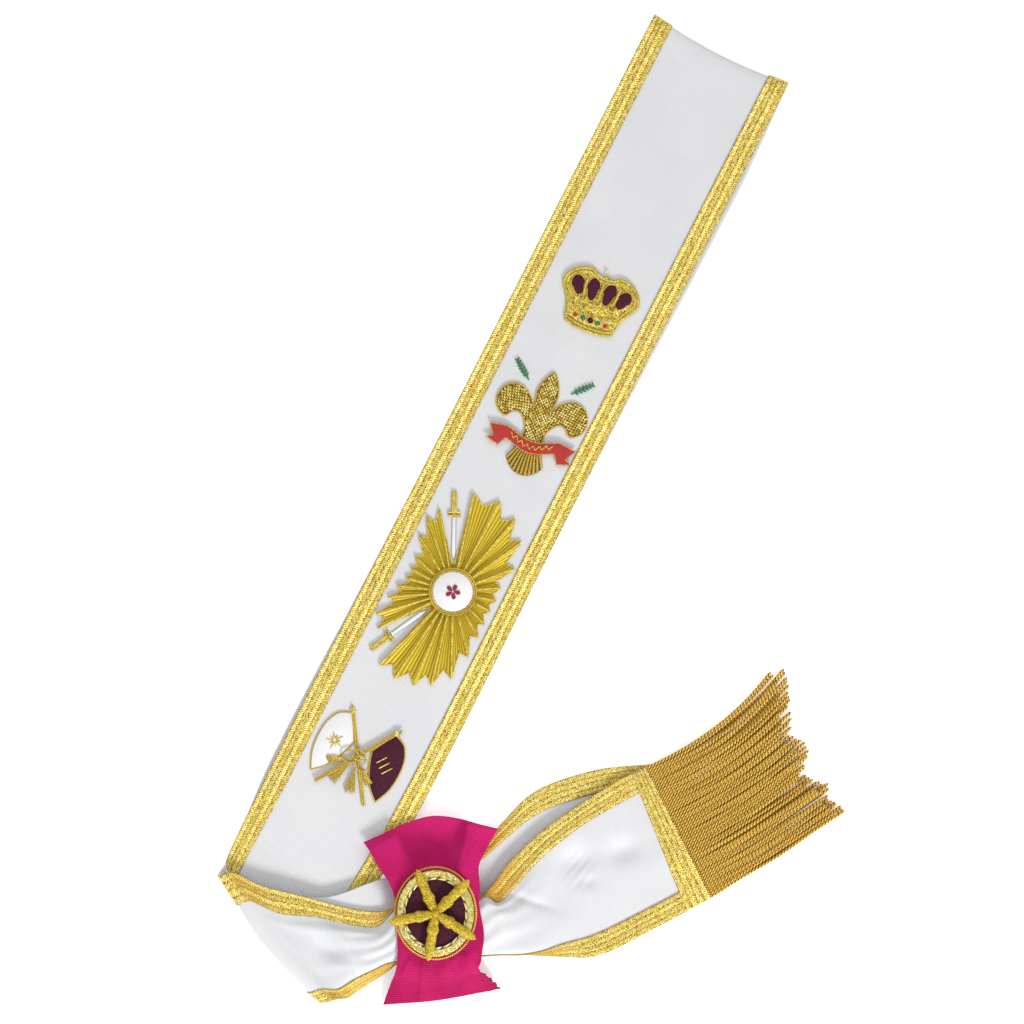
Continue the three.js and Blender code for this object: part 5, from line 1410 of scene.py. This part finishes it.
for name, side in (("sprig_left", -1), ("sprig_right", 1)):
    place = lily @ move(side * LILY_HEIGHT * 0.2, LILY_HEIGHT * 0.36, 0.45, 90 - side * 48)
    leaves = [[(0, 0, 0), (SPRIG_LENGTH * 0.5, 0.4, 0.2), (SPRIG_LENGTH, 0, 0)]]
    for step in range(6):
        x = 3 + step * 2.5
        reach = 2.9 - 0.25 * abs(step - 1.5)
        leaf = [(0, 0, 0.1), (0.6, 0.6, 0.4), (1, 0.8, 0.1)]
        leaves += [[(x + reach * out, way * reach * up, z) for out, up, z in leaf] for way in (-1, 1)]
    cords(name + "_leaves", leaves, 0.62, place, green_silk, replaced=[name], slot="green_silk", ends=1.2)
print("lily with", len(chips), "chips")

# %% [markdown]
# The sunburst is pleated like a fan: each ray has a ridge down its middle and a low notch on both
# sides, so the light changes from slope to slope. It is one grid, with columns round the centre and
# rows outwards, closed by a skirt at its rim. Cords run along the ridges and round the outline.

# %% The sunburst
SUNBURST_RADIUS = 71
RAYS = [
    (31.9, 0.46), (47.5, 0.63), (62.9, 0.81), (76.2, 0.91), (89.4, 0.97), (105, 0.96), (116, 0.27),
    (126, 0.8), (136, 0.76), (148, 0.63), (164, 0.49), (178, 0.46), (190, 0.47), (201, 0.54),
    (212, 0.62), (223, 0.76), (233, 0.8), (242, 0.27), (252, 0.99), (263, 1), (274, 0.97),
    (284, 0.92), (296, 0.83), (310, 0.64), (326, 0.5), (341, 0.43), (359.4, 0.4), (375, 0.42),
]
RIDGE, NOTCH, RAY_NOTCH, GAP_EDGE = 2.3, 0.4, 0.9, 0.7
glory = emblem(0.6725, 0.046, 0)
corners = []
for index, (bearing, reach) in enumerate(RAYS):
    after_bearing, after = RAYS[(index + 1) % len(RAYS)]
    after_bearing += 360 if index + 1 == len(RAYS) else 0
    is_gap, gap_after = reach < 0.3, after < 0.3
    corners.append((bearing, reach, NOTCH if is_gap else RIDGE))
    notch = min(reach, after) * (1 if is_gap or gap_after else RAY_NOTCH)
    share = 1 - GAP_EDGE if is_gap else GAP_EDGE if gap_after else 0.5
    corners.append((between(bearing, after_bearing, share), notch, NOTCH))
fine = []
for (b1, r1, h1), (b2, r2, h2) in zip(corners, [*corners[1:], (corners[0][0] + 360, *corners[0][1:])]):
    start, end = (np.array([math.cos(math.radians(b)), math.sin(math.radians(b))]) * r * SUNBURST_RADIUS
                  for b, r in ((b1, r1), (b2, r2)))
    for share in (0, 0.33, 0.67):
        x, y = start + (end - start) * share
        fine.append((x, y, between(b1, b2, share), between(h1, h2, share)))
fine.append(fine[0][:2] + (fine[0][2] + 360, fine[0][3]))
rows = np.concatenate([np.linspace(0, 1, 16), [1]])
burst = np.zeros((len(rows), len(fine), 3))
for column, (x, y, bearing, height) in enumerate(fine):
    turn = math.radians(bearing)
    inner = np.array([math.cos(turn), math.sin(turn)]) * 13
    for row, share in enumerate(rows):
        burst[row, column, :2] = inner + (np.array([x, y]) - inner) * share
        burst[row, column, 2] = 0 if row == len(rows) - 1 else height * (1 - 0.12 * share)
places = np.array([moved(row, glory) for row in burst])
mesh, _, _ = grid_mesh("sunburst_rays", places, burst[..., :2] * MM)
rays = finish_piece("sunburst_rays", mesh, ray_gold, ["sunburst"])
rays.data.shade_flat()
ridges = []
for bearing, reach in RAYS:
    if reach > 0.3:
        turn = math.radians(bearing)
        line = np.array([(math.cos(turn) * r, math.sin(turn) * r, RIDGE * (1 - 0.1 * r / SUNBURST_RADIUS))
                         for r in (16.5, reach * SUNBURST_RADIUS - 1.2)])
        ridges.append(line)
cords("sunburst_ridges", ridges, 0.85, glory, ridge_gold, pitch=1.5, ends=2.5)
rim = [(x, y, 0.55 + 0.45 * height) for x, y, _, height in fine[:-1]]
cords("sunburst_outline", [rim], 0.42, glory, ridge_gold, closed=True, pitch=1.8)
print("sunburst with", len(ridges), "rays")

# %% [markdown]
# The medallion in its middle is white satin inside a double cord, with a small flower. The two lances
# in the gaps have thin silver blades and gold grips.

# %% Medallion and lances
MEDALLION_DIAMETER, MEDALLION_RING = 32.6, 2.6
disc_radius = MEDALLION_DIAMETER / 2 - MEDALLION_RING
disc_profile = [(0, 0), (disc_radius, 0), (disc_radius, 0.6), (disc_radius - 0.6, 0.95), (0, 1.1)]
medallion_mesh = revolved_mesh("medallion_satin", disc_profile, 48, 1, glory @ move(0, 0, 1.2))
finish_piece("medallion_satin", medallion_mesh, white_silk, ["medallion"])
circle = [(math.cos(a), math.sin(a)) for a in np.linspace(0, 2 * math.pi, 97)[:-1]]
rings = [[(x * r, y * r, 1.9) for x, y in circle] for r in (disc_radius + 0.7, disc_radius + 2.1)]
cords("medallion_cords", rings, 0.72, glory, closed=True, replaced=["medallion_ring"])
petal = [(0.6, 0), (2.6, 1.35), (4.6, 1.15), (5.2, 0), (4.6, -1.15), (2.6, -1.35)]
flower = []
for step in range(5):
    place = Matrix.Rotation(math.radians(90 + 72 * step), 4, "Z")
    flower.append([tuple(place @ Vector((x, y, 0)))[:2] for x, y in closed_curve(petal, steps=3)])
on_satin = glory @ move(0, 0, 2.2)
pad("medallion_petals", flower, 0.7, on_satin, crimson_silk, ["medallion_flower"], 0.2)
LANCE_LENGTH, LANCE_WIDTH, LANCE_CLEARANCE = 48, 0.07, 4.4
blade = [(x * LANCE_LENGTH, y * LANCE_LENGTH * LANCE_WIDTH) for x, y in
         [(0, 0), (0.12, 0.5), (0.62, 0.42), (0.62, -0.42), (0.12, -0.5)]]
EDGE = [(0.6, 1.2), (0.12, 1.4), (0.4 / LANCE_LENGTH, 0), (0.12, -1.4), (0.6, -1.2)]
edge = [(x * LANCE_LENGTH, y, 0.5) for x, y in EDGE]
guard = np.array([(0.64, -4.6, 0.9), (0.65, 0, 1.1), (0.64, 4.6, 0.9)]) * (LANCE_LENGTH, 1, 1)
grip = np.array([(0.66, 0, 1.0), (0.99, 0, 1.0)]) * (LANCE_LENGTH, 1, 1)
for name, bearing in (("lance_1", 116), ("lance_2", 242)):
    place = glory @ move(0, 0, 0, bearing) @ move(MEDALLION_DIAMETER / 2 + LANCE_CLEARANCE, 0)
    pad(name + "_blade", [blade], 0.7, place, white_silk, [name], 0.2)
    cords(name + "_edge", [edge], 0.3, place, dark_silver, slot="silver_thread", pitch=1.5)
    cords(name + "_guard", [guard, guard + (2.2, 0, -0.1)], 1.0, place, coil_gold, pitch=1.3, ends=1)
    grips = [grip + (0, side, 0) for side in (-1.1, 0, 1.1)]
    cords(name + "_grip", grips, 0.95, place, coil_gold, pitch=1.3, ends=1.2)
print("medallion and two lances")

# %% [markdown]
# The two flags are thin pads on crossed staffs of gold cord. A cord edges each flag, which carries a
# plain pattern of its own. Loops of cord tie the staffs, and tassels of loose gold strands splay below.

# %% Flags, staffs and tassels
FLAG_LENGTH, STAFF_LENGTH, STAFF_LEAN, STAFF_HOIST = 47, 67.5, 33.3, 0.43
FLAG = [
    (0, 0), (0.18, -0.08), (0.28, -0.26), (0.31, -0.5), (0.28, -0.76), (0.18, -1), (0.02, -0.85),
    (-0.075, -0.69), (-0.15, -0.51), (-0.2, -0.33),
]


def star_marks(x, y):
    """Ten rays, long and short by turns."""
    turns = np.linspace(0, 2 * math.pi, 11)[:-1] + 0.3
    return [[(x + math.cos(a) * r, y + math.sin(a) * r, 0.95) for r in (0.8, 6.2 if k % 2 else 4.2)]
            for k, a in enumerate(turns)]


def bar_marks(x, y):
    """Three slanting bars, side by side."""
    bar = [(-2.6, -3.6, 0.95), (0, 0, 1.15), (2.6, 3.6, 0.95)]
    return [[(x + east + dx, y + north + dy, z) for dx, dy, z in bar]
            for east, north in ((-3.2, 2.6), (0, 0), (3.2, -2.6))]


FLAGS = [
    {"name": "flag_white", "side": -1, "finish": white_silk, "slot": "white_silk", "marks": star_marks},
    {"name": "flag_red", "side": 1, "finish": plum_velvet, "slot": "plum_velvet", "marks": bar_marks},
]
flags = emblem(0.884, -0.02, 0)
for flag in FLAGS:
    name, side = flag["name"], flag["side"]
    points = [(side * x, y) for x, y in FLAG]
    line = outline_of(points[0:6], points[5:10], size=FLAG_LENGTH)
    turn = math.radians(90 - side * STAFF_LEAN)
    reach = STAFF_LENGTH * STAFF_HOIST
    place = flags @ move(math.cos(turn) * reach, math.sin(turn) * reach)
    pad(name + "_silk", [line], 0.8, place, flag["finish"], [name], 0.2)
    cords(name + "_edge", [raised(line, 0.65)], 0.62, place, closed=True)
    marks = flag["marks"](side * 0.06 * FLAG_LENGTH, -0.47 * FLAG_LENGTH)
    cords(name + "_mark", marks, 0.58, place, coil_gold, pitch=1.3, ends=1.2)
for index, side in enumerate((1, -1)):
    place = flags @ move(0, 0, 1.0 + 0.9 * index, side * STAFF_LEAN)
    half = STAFF_LENGTH / 2
    lines = [[(x, -half, 0), (x, half - 5, 0)] for x in (-0.62, 0.62)]
    cords(f"staff_{index + 1}_cords", lines, 0.78, place, replaced=[f"staff_{index + 1}"], pitch=2.6)
    spear = [(-0.9, half - 6), (-2.1, half - 3.4), (0, half + 1.4), (2.1, half - 3.4), (0.9, half - 6)]
    tip = place @ move(0, 0, -0.5)
    pad(f"staff_{index + 1}_spear", [spear], 1.1, tip, speckled_gold)
LOOPS = [(-4.6, -2.5, 5.4, 4.2, 35), (4.4, -3.4, 5.4, 4.4, -40), (0.2, 0.6, 4.4, 3.4, 5)]
TASSELS = [(-60, (-6, -5), 14), (-24, (-2.5, -7), 18), (14, (1.5, -7), 19), (50, (6, -6), 13)]
loops = []
for x, y, wide, high, lean in LOOPS:
    turn = math.radians(lean)
    loops.append([
        (x + wide * math.cos(a) * math.cos(turn) - high * math.sin(a) * math.sin(turn),
         y + wide * math.cos(a) * math.sin(turn) + high * math.sin(a) * math.cos(turn), 2.7)
        for a in np.linspace(0, 2 * math.pi, 41)[:-1]])
cords("flag_knot", loops, 0.55, flags, closed=True)
chance = random.Random(31)
strands = []
for lean, (x, y), reach in TASSELS:
    for step in range(9):
        a = math.radians(-90 + lean + (step - 4) * 2.4 + chance.uniform(-1, 1))
        out = reach * chance.uniform(0.92, 1.03)
        spread = (step - 4) * 0.22
        strands.append([
            (x, y, 1.9),
            (x + math.cos(a) * out * 0.45 + spread * 0.3, y + math.sin(a) * out * 0.45, 1.9),
            (x + math.cos(a) * out + spread, y + math.sin(a) * out, 1.2 + chance.uniform(0, 0.4))])
cords("flag_tassel_strands", strands, 0.4, flags, replaced=["flag_tassels"], pitch=2.4, ends=1)
print("two flags, two staffs and", len(strands), "tassel strands")

# %% [markdown]
# Each ribbon, lace and the bow is a flat strip that was cut to a width and a length and then laid,
# folded or gathered. The lengths of the ribbons and their laces are measured along their middles.

# %% Sheets of cloth
def strip_length(surface, end=None):
    """Length in metres along the middle of a surface."""
    path = surface.points(np.linspace(0, end or surface.last, 1200), [0.5])[:, 0]
    return float(np.linalg.norm(np.diff(path, axis=0), axis=1).sum() * MM)


strip_length(rear)
strip_length(front)
strip_length(under_tail)
lace_lengths = {
    "rear": strip_length(rear), "front": strip_length(front, FOLD_RUN), "under": strip_length(under_tail),
}
print("sheets declared:", 4 + len(laces))
